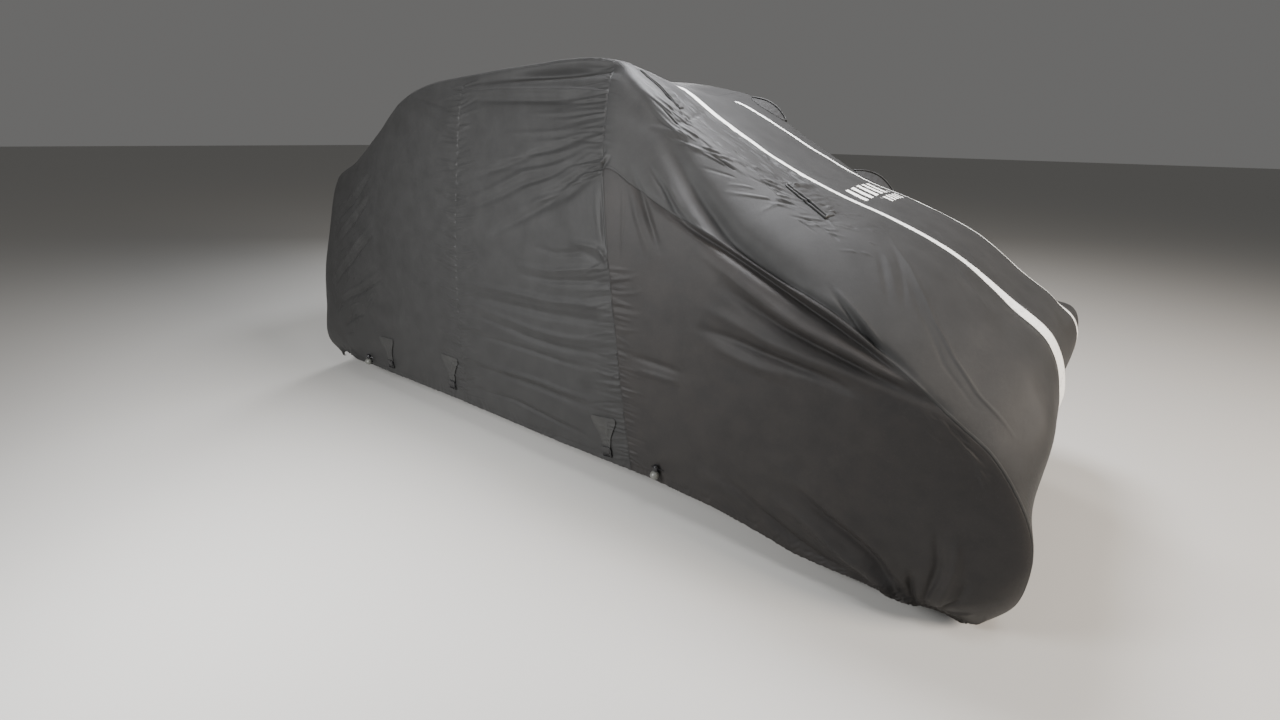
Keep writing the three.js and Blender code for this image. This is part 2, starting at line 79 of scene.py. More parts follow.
shape = {
    "zero": (-1663, -40),       # x and z from which the table is measured
    "tapeOut": 270,             # middle of each tape from the centre line
    "softPull": 0.9,
    "farShare": (0.3, 0.7, 1, 0.8, 0.2, 0),     # how far each line of the left side follows "far"
}
columns = ("x", "tilt", "hemOut", "hemUp", "wideOut", "wideUp", "hipOut", "hipUp", "browOut",
           "browUp", "tapeUp", "crownUp", "browPull", "hipPull", "far")
sections = {
    "tailHem": (50, 170, 700, 440, 665, 490, 570, 520, 430, 525, 525, 525, 0.9, 0.9, 0),
    "tailLow": (50, 152, 760, 330, 760, 515, 650, 575, 490, 585, 590, 590, 0.9, 0.9, 0),
    "tailMid": (50, 130, 785, 240, 795, 520, 700, 680, 520, 710, 730, 730, 0.8, 0.9, 0),
    "tailUp": (50, 114, 795, 200, 800, 530, 700, 900, 540, 1050, 1080, 1080, 0.7, 0.9, 0),
    "deck": (100, 106, 800, 185, 800, 550, 710, 1020, 565, 1335, 1375, 1380, 0.4, 0.9, 0),
    "deckUp": (220, 98, 800, 185, 800, 600, 730, 1100, 580, 1425, 1480, 1490, 0.4, 0.9, 0),
    "rise": (420, 94, 800, 185, 800, 620, 735, 1180, 590, 1575, 1630, 1645, 0.5, 0.9, 0),
    "roofBack": (640, 91, 800, 190, 800, 620, 740, 1220, 600, 1740, 1785, 1800, 0.4, 0.9, 0),
    "roofTwo": (880, 90, 800, 190, 800, 620, 740, 1240, 605, 1810, 1845, 1860, 0.35, 0.9, 0),
    "seamOne": (1150, 90, 800, 190, 800, 620, 740, 1250, 605, 1835, 1870, 1885, 0.35, 0.9, 0),
    "doorMid": (1510, 92, 800, 190, 800, 620, 740, 1280, 600, 1858, 1870, 1880, 0.35, 0.9, 0),
    "doorTwo": (1910, 95, 800, 190, 800, 620, 740, 1340, 590, 1877, 1870, 1870, 0.35, 0.9, -10),
    "seamTwo": (2310, 99, 800, 200, 800, 660, 735, 1490, 580, 1885, 1845, 1835, 0.4, 0.6, -50),
    "header": (2410, 98, 800, 200, 800, 660, 735, 1433, 575, 1795, 1788, 1785, 0.5, 0.5, -35),
    "pillar": (2530, 96.5, 800, 190, 800, 660, 735, 1345, 565, 1645, 1670, 1680, 0.6, 0.5, 0),
    "screen": (2700, 94.5, 800, 180, 800, 640, 745, 1258, 540, 1485, 1525, 1540, 0.7, 0.5, 20),
    "scuttle": (2880, 92.5, 800, 155, 800, 600, 760, 1163, 520, 1365, 1413, 1430, 0.8, 0.5, 15),
    "hoodMid": (3060, 90, 800, 125, 805, 560, 770, 1060, 520, 1270, 1328, 1345, 0.8, 0.5, 15),
    "hoodTwo": (3200, 85, 800, 125, 810, 520, 785, 938, 530, 1155, 1220, 1240, 0.8, 0.5, 25),
    "hoodLip": (3270, 78, 800, 130, 810, 500, 790, 840, 560, 1040, 1103, 1120, 0.8, 0.5, 25),
    "nose": (3290, 70, 800, 135, 810, 500, 790, 790, 600, 955, 1035, 1050, 0.8, 0.5, 30),
    "grille": (3290, 62, 800, 145, 810, 480, 790, 738, 640, 860, 905, 900, 0.8, 0.5, 120),
    "bumper": (3290, 50, 795, 155, 810, 460, 785, 660, 640, 635, 590, 580, 0.8, 0.5, 140),
    "chin": (3290, 34, 785, 200, 800, 430, 755, 545, 620, 520, 470, 470, 0.8, 0.6, 50),
    "noseHem": (3290, 7, 690, 325, 670, 380, 610, 405, 520, 410, 410, 410, 0.9, 0.9, 0),
}
lastRow = len(sections) - 1
table = np.array(list(sections.values()), float)

# Girth lines v: 0 crown, 1 tape, 2 brow (roof edge), 3 hip, 4 widest, 5 hem, minus on the right side.


def hermite(a, slopeA, b, slopeB, s):
    s2, s3 = s * s, s * s * s
    return (2 * s3 - 3 * s2 + 1) * a + (s3 - 2 * s2 + s) * slopeA + (3 * s2 - 2 * s3) * b + (s3 - s2) * slopeB


def rowSlopes():
    step = np.diff(table, axis=0)
    before, after = step[:-1], step[1:]
    same = before * after > 0
    steady = np.where(same, 2 * before * after / np.where(same, before + after, 1), 0)
    middle = 0.5 * steady + 0.25 * (before + after)
    return np.vstack([step[:1], middle, step[-1:]])


slopes = rowSlopes()


def tautPoints(u, v):
    # u, v: flat arrays of places. Gives the taut cover's points in metres.
    u, v = np.broadcast_arrays(np.asarray(u, float), np.asarray(v, float))
    i = np.clip(u.astype(int), 0, lastRow - 1)
    row = hermite(table[i], slopes[i], table[i + 1], slopes[i + 1], (u - i)[:, None])
    at = {name: row[:, k] for k, name in enumerate(columns)}
    keys = np.zeros((len(u), 11, 2))
    lines = ("crown", "tape", "brow", "hip", "wide", "hem")
    for line, name in enumerate(lines):
        out = {0: 0, 1: shape["tapeOut"]}.get(line)
        out = at[name + "Out"] if out is None else out
        keys[:, 5 - line, 0], keys[:, 5 - line, 1] = -out, at[name + "Up"]
        keys[:, 5 + line, 0] = out
        keys[:, 5 + line, 1] = at[name + "Up"] + shape["farShare"][line] * at["far"]
    chord = np.diff(keys, axis=1)
    length = np.linalg.norm(chord, axis=2, keepdims=True)
    way = chord / length
    turn = np.concatenate([way[:, :1], way[:, :-1] + way[:, 1:], way[:, -1:]], axis=1)
    turn /= np.linalg.norm(turn, axis=2, keepdims=True)
    pull = np.full((len(u), 11), shape["softPull"])
    pull[:, 3] = pull[:, 7] = at["browPull"]
    pull[:, 2] = pull[:, 8] = at["hipPull"]
    j = np.clip(np.floor(v + 5).astype(int), 0, 9)
    n = np.arange(len(u))
    along = length[n, j]
    spot = hermite(keys[n, j], turn[n, j] * along * pull[n, j][:, None], keys[n, j + 1],
                   turn[n, j + 1] * along * pull[n, j + 1][:, None], (v + 5 - j)[:, None])
    tilt = np.radians(at["tilt"])
    x = shape["zero"][0] + at["x"] + spot[:, 1] * np.cos(tilt)
    z = shape["zero"][1] + spot[:, 1] * np.sin(tilt)
    return np.stack([x, spot[:, 0], z], axis=1) * mm


def tautFrames(u, v):
    # the taut points with their directions along u, along v and outward
    u, v = np.broadcast_arrays(np.asarray(u, float), np.asarray(v, float))
    step = 0.01
    u0, u1 = np.clip(u - step, 0, lastRow), np.clip(u + step, 0, lastRow)
    v0, v1 = np.clip(v - step, -5, 5), np.clip(v + step, -5, 5)
    alongU = (tautPoints(u1, v) - tautPoints(u0, v)) / (u1 - u0)[:, None]
    alongV = (tautPoints(u, v1) - tautPoints(u, v0)) / (v1 - v0)[:, None]
    normal = np.cross(alongU, alongV)
    normal /= np.linalg.norm(normal, axis=1, keepdims=True)
    return tautPoints(u, v), alongU, alongV, normal


def runAlong(points):
    # how far each point of a line lies from its start
    return np.concatenate([[0], np.cumsum(np.linalg.norm(np.diff(points, axis=0), axis=1))])


# long folds, listed one by one: half width and height in mm (minus is a trough), then the path's places u, v

folds = {
    "along the hip seam": [
        (36, -44, [(13.6, -2.34), (14.1, -2.47), (14.56, -2.62), (14.82, -2.71), (15.18, -2.84),
            (15.56, -2.88), (15.9, -2.9), (16.5, -2.93)]),
        (15, -18, [(15.3, -2.88), (16.24, -2.935), (16.72, -2.945), (17.32, -2.94), (18.1, -2.93)]),
        (60, -14, [(14.4, -2.5), (15.2, -2.72), (16.0, -2.82), (16.9, -2.85)]),
        (11, 17, [(13.9, -3), (14.6, -3), (16, -3), (17.4, -3), (18.5, -3)]),
        (17, -30, [(13.1, -2.99), (13.7, -2.995), (14.34, -3.02), (14.74, -3.05), (15.36, -3.075),
            (15.98, -3.09), (16.64, -3.1), (17.24, -3.095), (17.76, -3.06), (18.4, -2.99)]),
        (62, -12, [(14.5, -3.1), (15.36, -3.17), (16.64, -3.2), (17.5, -3.16), (18.2, -3.05)]),
        (21, 20, [(14.6, -3.17), (15.2, -3.21), (16.02, -3.25), (16.52, -3.26), (17.14, -3.22),
            (17.72, -3.16), (18.3, -3.05)]),
        (18, -25, [(15.0, -3.3), (15.7, -3.33), (16.22, -3.34), (16.7, -3.33), (17.16, -3.3),
            (17.6, -3.25), (18.2, -3.14), (18.8, -2.97)]),
        (24, 15, [(14.7, -3.48), (15.54, -3.46), (16.08, -3.45), (16.74, -3.41), (17.34, -3.34),
            (17.98, -3.25)]),
        (18, -20, [(14.6, -3.6), (15.36, -3.56), (15.92, -3.54), (16.44, -3.51), (16.92, -3.47),
            (17.5, -3.43)]),
        (22, 10, [(14.84, -3.65), (15.56, -3.64), (16.46, -3.59)]),
        (14, -8, [(12.3, -3.88), (13.46, -3.88), (14.34, -3.88)]),
        (14, 6, [(12.3, -3.95), (13.46, -3.95), (14.3, -3.95)]),
    ],
    "to the gather at the front hem": [
        (24, 25, [(16.3, -4.54), (17.02, -4.61), (18.02, -4.75), (19.88, -4.89), (23.04, -4.97)]),
        (22, -22, [(16.68, -4.34), (17.4, -4.49), (18.28, -4.58), (19.84, -4.76), (22.76, -4.88)]),
        (20, -18, [(15.16, -4.61), (16.08, -4.76), (16.78, -4.84), (17.56, -4.92), (18.7, -4.97)]),
        (35, 8, [(14.5, -4.67), (15.46, -4.74), (16.22, -4.8)]),
        (34, 12, [(16.0, -4.2), (17.4, -4.36), (18.9, -4.56), (20.6, -4.78), (22.6, -4.93)]),
        (14, -11.2, [(23.52, -4.92), (21.48, -4.25), (20.36, -4.03)]),
        (14, 11.2, [(23.52, -4.76), (21.98, -4.17), (21.1, -3.9)]),
        (14, -9.8, [(23.3, -4.94), (20.98, -4.51)]),
        (8, -9, [(23.4, -4.97), (22.9, -4.72), (22.3, -4.5)]),
        (8, 9, [(23.45, -4.97), (22.7, -4.62), (22.0, -4.3)]),
        (8, -9, [(23.3, -4.98), (22.3, -4.75), (21.3, -4.6)]),
        (8, 8, [(23.3, -4.98), (21.9, -4.85), (20.6, -4.76)]),
        (9, -8, [(23.5, -4.96), (23.2, -4.6), (22.9, -4.25)]),
        (8, 8, [(23.6, -4.96), (23.5, -4.6), (23.4, -4.2)]),
        (14, -9.8, [(23.22, -4.41), (22.28, -4.05)]),
    ],
    "below the pillar and on the screen": [
        (14, -10.4, [(12.9, -2.76), (13.3, -3.02), (13.56, -3.17), (13.84, -3.3)]),
        (12, 3.9, [(12.9, -2.95), (13.2, -3.2), (13.5, -3.35)]),
        (14, -11.7, [(13.36, -2.66), (13.84, -2.75), (14.04, -2.84), (14.4, -3.03)]),
        (12, 3.9, [(13.6, -2.66), (14.02, -2.74), (14.34, -2.9)]),
        (5, 3, [(12.74, -3.05), (12.7, -3.26), (12.56, -3.43)]),
        (8, 6, [(12.2, -2.78), (11.9, -2.97)]),
        (7, -7, [(12.2, -2.85), (11.92, -3.03)]),
        (16, 6, [(11.9, -2.1), (12.64, -2.12), (13.32, -2.15), (13.9, -2.2), (14.3, -2.19)]),
        (45, -5, [(12.16, -2.34), (12.7, -2.42), (13.2, -2.38), (13.7, -2.36)]),
        (12, 5, [(13.26, -2.4), (13.8, -2.25), (14.2, -2.1)]),
        (6, -4, [(13.78, -1.16), (13.98, -1.76), (13.88, -2.2)]),
    ],
    "along the roof's edge": [
        (24, -20, [(8.4, -2.12), (9.44, -2.14), (10.3, -2.15), (11.06, -2.17), (11.95, -2.2)]),
        (26, -30, [(10.0, -2.13), (10.8, -2.14), (11.6, -2.145), (12.4, -2.14)]),
        (15, 9, [(10.6, -1.92), (11.4, -1.94), (12.1, -1.96)]),
        (11, 10, [(8.9, -2.22), (9.86, -2.25), (10.54, -2.29), (11.28, -2.33), (11.92, -2.39)]),
        (13, -9, [(9.1, -2.29), (10.54, -2.36), (11.3, -2.4), (11.9, -2.46)]),
    ],
    "long gathers at the second seam": [
        (7, 3.6, [(10.9, -2.38), (11.96, -2.44)]),
        (7, 3.6, [(10.5, -2.44), (11.96, -2.52)]),
        (6, 3, [(10.9, -2.5), (11.96, -2.56)]),
        (9, 4.4, [(10.1, -2.54), (11.98, -2.61)]),
        (7, 3, [(10.5, -2.61), (11.98, -2.66)]),
        (10, 4.6, [(9.8, -2.68), (11.98, -2.73)]),
        (11, 5, [(10.0, -2.91), (11.98, -2.8)]),
        (9, 4, [(10.6, -3.0), (11.96, -2.95)]),
        (14, -5, [(9.6, -2.74), (11.96, -2.77)]),
        (14, -6, [(10.4, -2.97), (11.96, -2.89)]),
    ],
    "about the slit in the second seam": [
        (20, -9, [(10.72, -3.06), (11.1, -3.03), (11.44, -3.03), (11.9, -3.01)]),
        (6, -8, [(11.94, -3.1), (11.93, -3.2), (11.92, -3.34), (11.97, -3.44)]),
        (9, 1.6, [(11.84, -3.08), (11.8, -3.2), (11.84, -3.38)]),
        (9, 11, [(11.8, -3.4), (11.96, -3.47)]),
        (12, 8, [(11.3, -3.3), (12.0, -3.45)]),
        (12, -6, [(10.62, -3.27), (11.5, -3.38), (11.96, -3.51)]),
    ],
    "across the door": [
        (16, -8.1, [(9.04, -3.05), (10.56, -2.85), (11.94, -2.82)]),
        (13, 6.8, [(9.04, -2.97), (10.5, -2.78), (11.94, -2.76)]),
        (14, -6.8, [(9.04, -2.82), (10.7, -2.68), (11.9, -2.66)]),
        (20, -9.5, [(9.7, -3.22), (11.22, -2.97), (11.94, -2.94)]),
        (20, -12, [(8.9, -3.66), (9.5, -3.67), (10.28, -3.68), (11.14, -3.69), (12.06, -3.77)]),
        (16, 9, [(8.9, -3.58), (9.6, -3.58), (10.4, -3.59), (11.14, -3.61), (12.06, -3.69)]),
        (14, -9.5, [(10.3, -3.45), (11.18, -3.49), (12.2, -3.6)]),
        (12, 6.8, [(10.3, -3.4), (11.18, -3.43), (12.1, -3.53)]),
        (16, -9.5, [(9.04, -3.79), (10.48, -3.88), (12.04, -3.91)]),
        (14, 6.8, [(9.04, -3.73), (10.48, -3.81), (12.04, -3.84)]),
        (14, -8.1, [(9.04, -3.99), (10.46, -3.98), (11.6, -4.0)]),
        (18, -10.8, [(9.04, -4.42), (10.56, -4.4), (11.5, -4.43)]),
        (15, 8.1, [(9.04, -4.35), (10.56, -4.32), (11.5, -4.35)]),
        (14, -9.5, [(9.04, -4.74), (10.1, -4.68), (11.3, -4.77)]),
    ],
    "across the rear quarter": [
        (13, -10.8, [(4.3, -2.94), (5.3, -2.8), (6.1, -2.6)]),
        (12, 8.1, [(4.2, -2.85), (5.3, -2.7), (6.1, -2.52)]),
        (13, -10.8, [(4.3, -3.28), (5.44, -3.08), (6.1, -2.86)]),
        (12, 8.1, [(4.3, -3.18), (5.4, -2.99), (6.1, -2.8)]),
        (14, -12.2, [(3.6, -3.72), (5.06, -3.52), (6.2, -3.26)]),
        (12, 9.5, [(3.7, -3.62), (5.06, -3.42), (6.1, -3.18)]),
        (12, -10.8, [(4.0, -3.96), (5.28, -3.89), (6.3, -3.7)]),
        (11, 6.8, [(4.0, -3.88), (5.28, -3.81), (6.3, -3.62)]),
        (12, -9.5, [(3.8, -4.34), (5.3, -4.19)]),
        (12, -6, [(7.4, -2.12), (8.12, -2.26), (8.94, -2.37)]),
        (12, -5, [(7.9, -2.36), (8.96, -2.56)]),
    ],
    "on the hood": [
        (6, 4, [(16.9, -1.3), (17.3, -1.75), (17.7, -2.12), (18.1, -2.34), (18.6, -2.48), (19.2, -2.56),
            (20.2, -2.55)]),
        (7, -2.5, [(17.3, -1.95), (17.9, -2.36), (18.5, -2.6), (19.3, -2.68)]),
        (9, -9.8, [(16.8, -2.74), (17.24, -2.84), (17.7, -2.97)]),
        (8, 7, [(16.8, -2.68), (17.26, -2.78), (17.7, -2.92)]),
        (8, -5.6, [(16.7, -2.68), (17.3, -2.88), (17.96, -3.0)]),
        (7, -3.6, [(17.1, -2.02), (17.34, -2.29), (17.52, -2.5)]),
        (7, 3, [(17.2, -1.98), (17.42, -2.23), (17.6, -2.44)]),
        (7, -3.6, [(17.26, -1.8), (17.56, -2.21), (17.72, -2.45)]),
        (6, 3, [(17.8, -1.06), (18.24, -1.38), (18.7, -1.62)]),
        (6, 3, [(17.94, -0.22), (18.18, -0.66), (18.4, -0.99)]),
        (16, 9, [(15.6, -1.64), (15.84, -1.19)]),
    ],
}


def pathPoints(path, step=0.022):
    # the fold's path laid on the taut cover in short even steps
    places = np.array(path, float)
    fine = np.linspace(0, len(path) - 1, 40 * (len(path) - 1) + 1)
    u = np.interp(fine, np.arange(len(path)), places[:, 0])
    v = np.interp(fine, np.arange(len(path)), places[:, 1])
    points = tautPoints(u, v)
    run = runAlong(points)
    even = np.linspace(0, run[-1], max(int(run[-1] / step), 4))
    return np.stack([np.interp(even, run, points[:, k]) for k in range(3)], axis=1)


foldLines = [(wide, high, pathPoints(path)) for area in folds.values() for wide, high, path in area]


def foldHeights(points):
    total = np.zeros(len(points))
    for wide, high, line in foldLines:
        reach = 2.6 * wide * mm
        near = np.all((points > line.min(axis=0) - reach) & (points < line.max(axis=0) + reach), axis=1)
        picked = np.nonzero(near)[0]
        if not len(picked):
            continue
        distance = np.full(len(picked), 9.0)
        place = np.zeros(len(picked))
        many = len(line) - 1
        for k in range(many):
            way = line[k + 1] - line[k]
            gap = points[picked] - line[k]
            share = np.clip(gap @ way / (way @ way), 0, 1)
            d = np.linalg.norm(gap - share[:, None] * way, axis=1)
            closer = d < distance
            distance[closer] = d[closer]
            place[closer] = (k + share[closer]) / many
        fade = np.sin(np.pi * np.clip(place, 0.01, 0.985) ** 1.25) ** 0.8
        total[picked] += high * fade * np.exp(-(distance / (wide * mm)) ** 2)
    return total * mm


# short creases: each has a start, a direction on the cloth, a length, a half width and a height


def creaseHeights(points, creases):
    total = np.zeros(len(points))
    for start, along, across, length, wide, high, bend in creases:
        reach = length + 3 * wide
        off = np.abs(points - start - along * length / 2)
        picked = np.nonzero(np.all(off < reach / 2 + 3 * wide, axis=1))[0]
        if not len(picked):
            continue
        gap = points[picked] - start
        a = gap @ along / length
        b = gap @ across - bend * length * a * a
        spread = wide * (0.7 + 0.6 * np.clip(a, 0, 1))
        inside = (a > 0) & (a < 1)
        rise = np.clip(a * length / (6 * mm), 0, 1)
        envelope = np.where(inside, rise * np.cos(np.pi / 2 * np.clip(a, 0, 1)) ** 1.5, 0)
        ripple = b / spread
        total[picked] += high * envelope * (1 - 0.8 * ripple ** 2) * np.exp(-ripple ** 2)
    return total


def creaseAt(u, v, angle, length, wide, high, bend=0.0):
    # angle in degrees on the cloth: 0 runs towards the nose, 90 towards the cover's left
    point, alongU, alongV, normal = (a[0] for a in tautFrames([u], [v]))
    ahead = alongU / np.linalg.norm(alongU)
    aside = np.cross(normal, ahead)
    turn = math.radians(angle)
    along = ahead * math.cos(turn) + aside * math.sin(turn)
    return point, along, np.cross(normal, along), length * mm, wide * mm, high * mm, bend


# gathers along the upright seams: which side of the seam, from and to which girth place, how dense and long
gatherColumns = ("u", "side", "v", "pitch", "long", "high", "wide", "tilt")
gathers = [dict(zip(gatherColumns, row)) for row in (
    (9, -1, (-2.1, -4.9), 26, (80, 230), (2.8, 6.0), (7, 11), 8),
    (9, 1, (-2.1, -4.9), 27, (60, 200), (2.6, 5.6), (7, 11), 8),
    (9, -1, (-2.1, -4.9), 17, (25, 70), (1.2, 2.6), (5, 7), 0),
    (12, -1, (-2.06, -3.05), 21, (130, 380), (2.6, 5.2), (6, 10), -5),
    (12, -1, (-2.06, -3.05), 13, (30, 90), (1.4, 3.0), (4.6, 6.5), 0),
    (12, -1, (-3.45, -4.9), 20, (90, 260), (2.8, 5.6), (6, 10), -8),
    (12, 1, (-3.5, -4.9), 20, (50, 170), (2.4, 5.0), (6, 9), -8),
    (12, 1, (-2.05, -2.9), 26, (30, 80), (0.6, 1.4), (6, 9), -4),
    (9, -1, (4.9, 2.15), 34, (50, 140), (2.0, 4.6), (9, 13), 6),
    (9, 1, (4.9, 2.15), 34, (50, 120), (2.0, 4.6), (9, 13), 6),
    (12, -1, (4.9, 2.15), 30, (60, 170), (2.6, 5.4), (9, 13), 6),
    (12, 1, (4.9, 3.4), 30, (40, 110), (2.0, 4.6), (9, 13), 6),
)]


def gatherCreases(g):
    v0, v1 = g["v"]
    many = 200
    line = tautPoints(np.full(many, g["u"]), np.linspace(v0, v1, many))
    run = runAlong(line) / mm
    made = []
    place = rng.uniform(0, g["pitch"])
    while place < run[-1]:
        v = np.interp(place, run, np.linspace(v0, v1, many))
        angle = (0 if g["side"] > 0 else 180) + rng.normal(g["tilt"] * g["side"], 6)
        length = rng.uniform(*g["long"])
        wide = rng.uniform(*g["wide"])
        high = rng.uniform(*g["high"]) * rng.choice([1, 1, -0.8])
        made.append(creaseAt(g["u"], v, angle, length, wide, high, rng.normal(0, 0.06)))
        place += g["pitch"] * rng.uniform(0.55, 1.5)
    return made


# crumples: patches where the cloth lies loose in many small creases
crumpleColumns = ("name", "u", "v", "count", "angle", "length", "wide", "high")
crumples = [dict(zip(crumpleColumns, row)) for row in (
    ("screen crumple", (13.6, 15.7), (-2.25, -1.12), 120, (13, 10), (60, 190), (5, 9), (2.4, 5.4)),
    ("about the right vent", (15.4, 17.1), (-2.3, -1.2), 60, (22, 20), (35, 100), (4.8, 8), (1.8, 4.2)),
    ("pillar top", (12.4, 13.8), (-2.0, -1.1), 30, (6, 14), (50, 140), (4.6, 8), (1.2, 2.8)),
    ("roof corner", (11.3, 12.1), (-2.0, -1.7), 22, (-20, 16), (30, 80), (4, 6), (1.0, 2.4)),
    ("left screen", (13.4, 15.6), (1.2, 2.2), 24, (30, 12), (50, 140), (5, 9), (0.8, 2.2)),
    ("front of the wing", (18.4, 20.2), (-3.3, -3.08), 14, (175, 8), (50, 120), (6, 9), (1.0, 2.4)),
    ("rear quarter by the seam", (7.4, 8.9), (-3.9, -2.15), 22, (168, 12), (50, 160), (5, 8), (0.8, 2.0)),
    ("tail corner", (3.8, 5.8), (-4.5, -2.7), 34, (28, 10), (60, 190), (7, 11), (1.6, 4.2)),
    ("hood past the vent", (16.9, 18.2), (-2.3, -1.2), 18, (-55, 10), (40, 110), (4, 6.5), (0.7, 1.6)),
)]


def crumpleCreases(c):
    made = []
    for k in range(c["count"]):
        u, v = rng.uniform(*c["u"]), rng.uniform(*c["v"])
        angle = rng.normal(*c["angle"]) + (180 if rng.random() < 0.5 else 0)
        length, wide = rng.uniform(*c["length"]), rng.uniform(*c["wide"])
        high = rng.uniform(*c["high"]) * rng.choice([1, -1])
        made.append(creaseAt(u, v, angle, length, wide, high, rng.normal(0, 0.08)))
    return made


def waves(points, length, count, seed):
    # smooth uneven swell from a few waves in seeded directions, about -1 to 1
    own = np.random.default_rng(seed)
    total = np.zeros(len(points))
    for k in range(count):
        way = own.normal(size=3)
        way /= np.linalg.norm(way)
        each = length * mm * own.uniform(0.7, 1.5)
        total += np.sin(points @ way * 2 * np.pi / each + own.uniform(0, 6.3))
    return total / math.sqrt(count)


relief = {
    "swell": (420, 2.2, 9, 3),  # broad unevenness of the stretched cloth: wavelength, height, waves, seed
    "ripple": (130, 0.45, 12, 4),
    "seamDip": (1.1, 2.4),      # how deep the seam line lies and its half width
    "fellUp": (0.8, 11),        # the folded seam allowance raises a band this wide beside the seam
    "pucker": (0.35, 11, 14),   # small puckers along a seam: height, reach, pitch
    # the stiff tape makes the right side's cloth lie flatter, then on edge: rows, mm
    "tapeTurn": ((13, 14, 15, 18.2, 19.2, 21, 22.6), (0, 2.5, 6, 5, -5, -8, -3)),
    "hemWide": 28,              # casing of the drawcord
    "hemRoll": 5,               # radius of the rolled hem
    # how much of an upright seam's relief shows on top and on the side panels
    "seamShare": {9: (0, 0.16), 12: (1, 0.75)},
    # height of the hem's gathers: rows, mm
    "drawn": ((0, 3, 5, 14, 17, 21, 23, 24), (4, 4, 1.4, 1.4, 2, 3, 5, 3)),
    "pleat": (30, 52),          # pitch and reach of the hem's gathers
    "casingStitch": (1.8, 3.5), # depth and half width of the stitch line over the drawcord
}
creases = [c for g in gathers for c in gatherCreases(g)] + [c for c0 in crumples for c in crumpleCreases(c0)]


def seamRelief(distance, run, seed):
    # distance from a seam in mm, signed so that the folded allowance lies on the plus side
    deep, half = relief["seamDip"]
    up, wide = relief["fellUp"]
    high, reach, pitch = relief["pucker"]
    band = up * np.clip((wide - distance) / 3 + 0.5, 0, 1) * (distance > 0)
    phase = run / pitch * 2 * np.pi + 1.3 * np.sin(run / (pitch * 5.3) + seed)
    pucker = high * np.sin(phase) * np.exp(-(distance / reach) ** 2)
    return -deep * np.exp(-(distance / half) ** 2) + band + pucker


def clothHeights(u, v, points, alongU, alongV):
    perU = np.linalg.norm(alongU, axis=1) / mm
    perV = np.linalg.norm(alongV, axis=1) / mm
    girth = v * perV
    run = u * perU
    height = foldHeights(points) + creaseHeights(points, creases)
    for name in ("swell", "ripple"):
        length, high, count, seed = relief[name]
        height += high * mm * waves(points, length, count, seed)
    side = np.abs(v) > 2
    for seam, facing in ((9, 1), (12, -1)):
        here = seamRelief((u - seam) * perU * facing, girth, seam)
        onTop, onSides = relief["seamShare"][seam]
        height += here * mm * np.where(side, onSides, onTop)
    brow = seamRelief((np.abs(v) - 2) * perV, run, 2.5)
    height += brow * mm * (u < 12)
    hip = seamRelief((3 - np.abs(v)) * perV, run, 4.5)
    height += hip * mm * (u > 12)
    fromTape = (np.abs(v) - 1) * perV / 25
    turn = np.interp(u, *relief["tapeTurn"]) * (v < 0)
    height += turn * mm * fromTape * np.exp(-(fromTape / 1.8) ** 2)
    fromHem = (5 - np.abs(v)) * perV
    deep, half = relief["casingStitch"]
    stitched = -deep * np.exp(-((fromHem - relief["hemWide"]) / half) ** 2)
    pitch, reach = relief["pleat"]
    drawn = np.interp(u, *relief["drawn"])
    pleats = drawn * np.sin(run / pitch * 2 * np.pi + 2 * np.sin(run / 150)) * np.exp(-(fromHem / reach) ** 2)
    height += (stitched + pleats) * mm
    return height


def clothPoints(u, v, lift=0.0):
    # finished places of the cloth's face, raised by lift in metres, with its taut normals
    points, alongU, alongV, normal = tautFrames(u, v)
    height = clothHeights(np.asarray(u, float), np.asarray(v, float), points, alongU, alongV)
    return points + normal * (height + lift)[:, None], normal


# grid lines shared by all panels, closer together beside the seams and on the side that shows most

grid = {
    "backStep": 12.6, "fineStep": 8, "frontStep": 10.6,     # along the cover, from the tail
    "topStep": 15, "rightStep": 5.1, "leftStep": 16,        # across it
    "besideSeam": (2, 4.5, 9, 13), "seamClear": 2.2,
    "perRow": 330, "perLine": 560,                          # mm in one step of u and of v
}


def evenLines(ends, step, measure):
    made = []
    for a, b in zip(ends[:-1], ends[1:]):
        count = max(int(round(measure(a, b) / step)), 2)
        made += [a + (b - a) * k / count for k in range(count)]
    return made + [ends[-1]]


def lineLength(u, v):
    return np.linalg.norm(np.diff(tautPoints(u, v), axis=0), axis=1).sum() / mm


def rowLength(a, b):
    return max(lineLength(np.linspace(a, b, 9), v) for v in (0, -3, -4))


def girthLength(a, b):
    return max(lineLength(u, np.linspace(a, b, 9)) for u in (4, 10, 16))


def withSeams(lines, seams, perUnit):
    extra = [seam + side * d / perUnit for seam in seams for side in (-1, 1) for d in grid["besideSeam"]]
    clear = grid["seamClear"] / perUnit
    kept = [x for x in lines if x in seams or all(abs(x - e) > clear for e in extra)]
    inside = [e for e in extra if lines[0] < e < lines[-1]]
    return np.array(sorted(kept + inside))


def makeLines():
    back = evenLines(range(9), grid["backStep"], rowLength)
    middle = evenLines(range(8, 18), grid["fineStep"], rowLength)
    front = evenLines(range(17, lastRow + 1), grid["frontStep"], rowLength)
    rows = withSeams(back + middle[1:] + front[1:], (9, 12), grid["perRow"])
    right = evenLines((-5, -4, -3, -2, -1), grid["rightStep"], girthLength)
    top = evenLines((-1, 0, 1), grid["topStep"], girthLength)
    left = evenLines((1, 2, 3, 4, 5), grid["leftStep"], girthLength)
    girth = withSeams(right + top[1:] + left[1:], (-3, -2, 2, 3), grid["perLine"])
    return rows, girth


rowLines, girthLines = makeLines()
print("grid", len(rowLines), "by", len(girthLines))


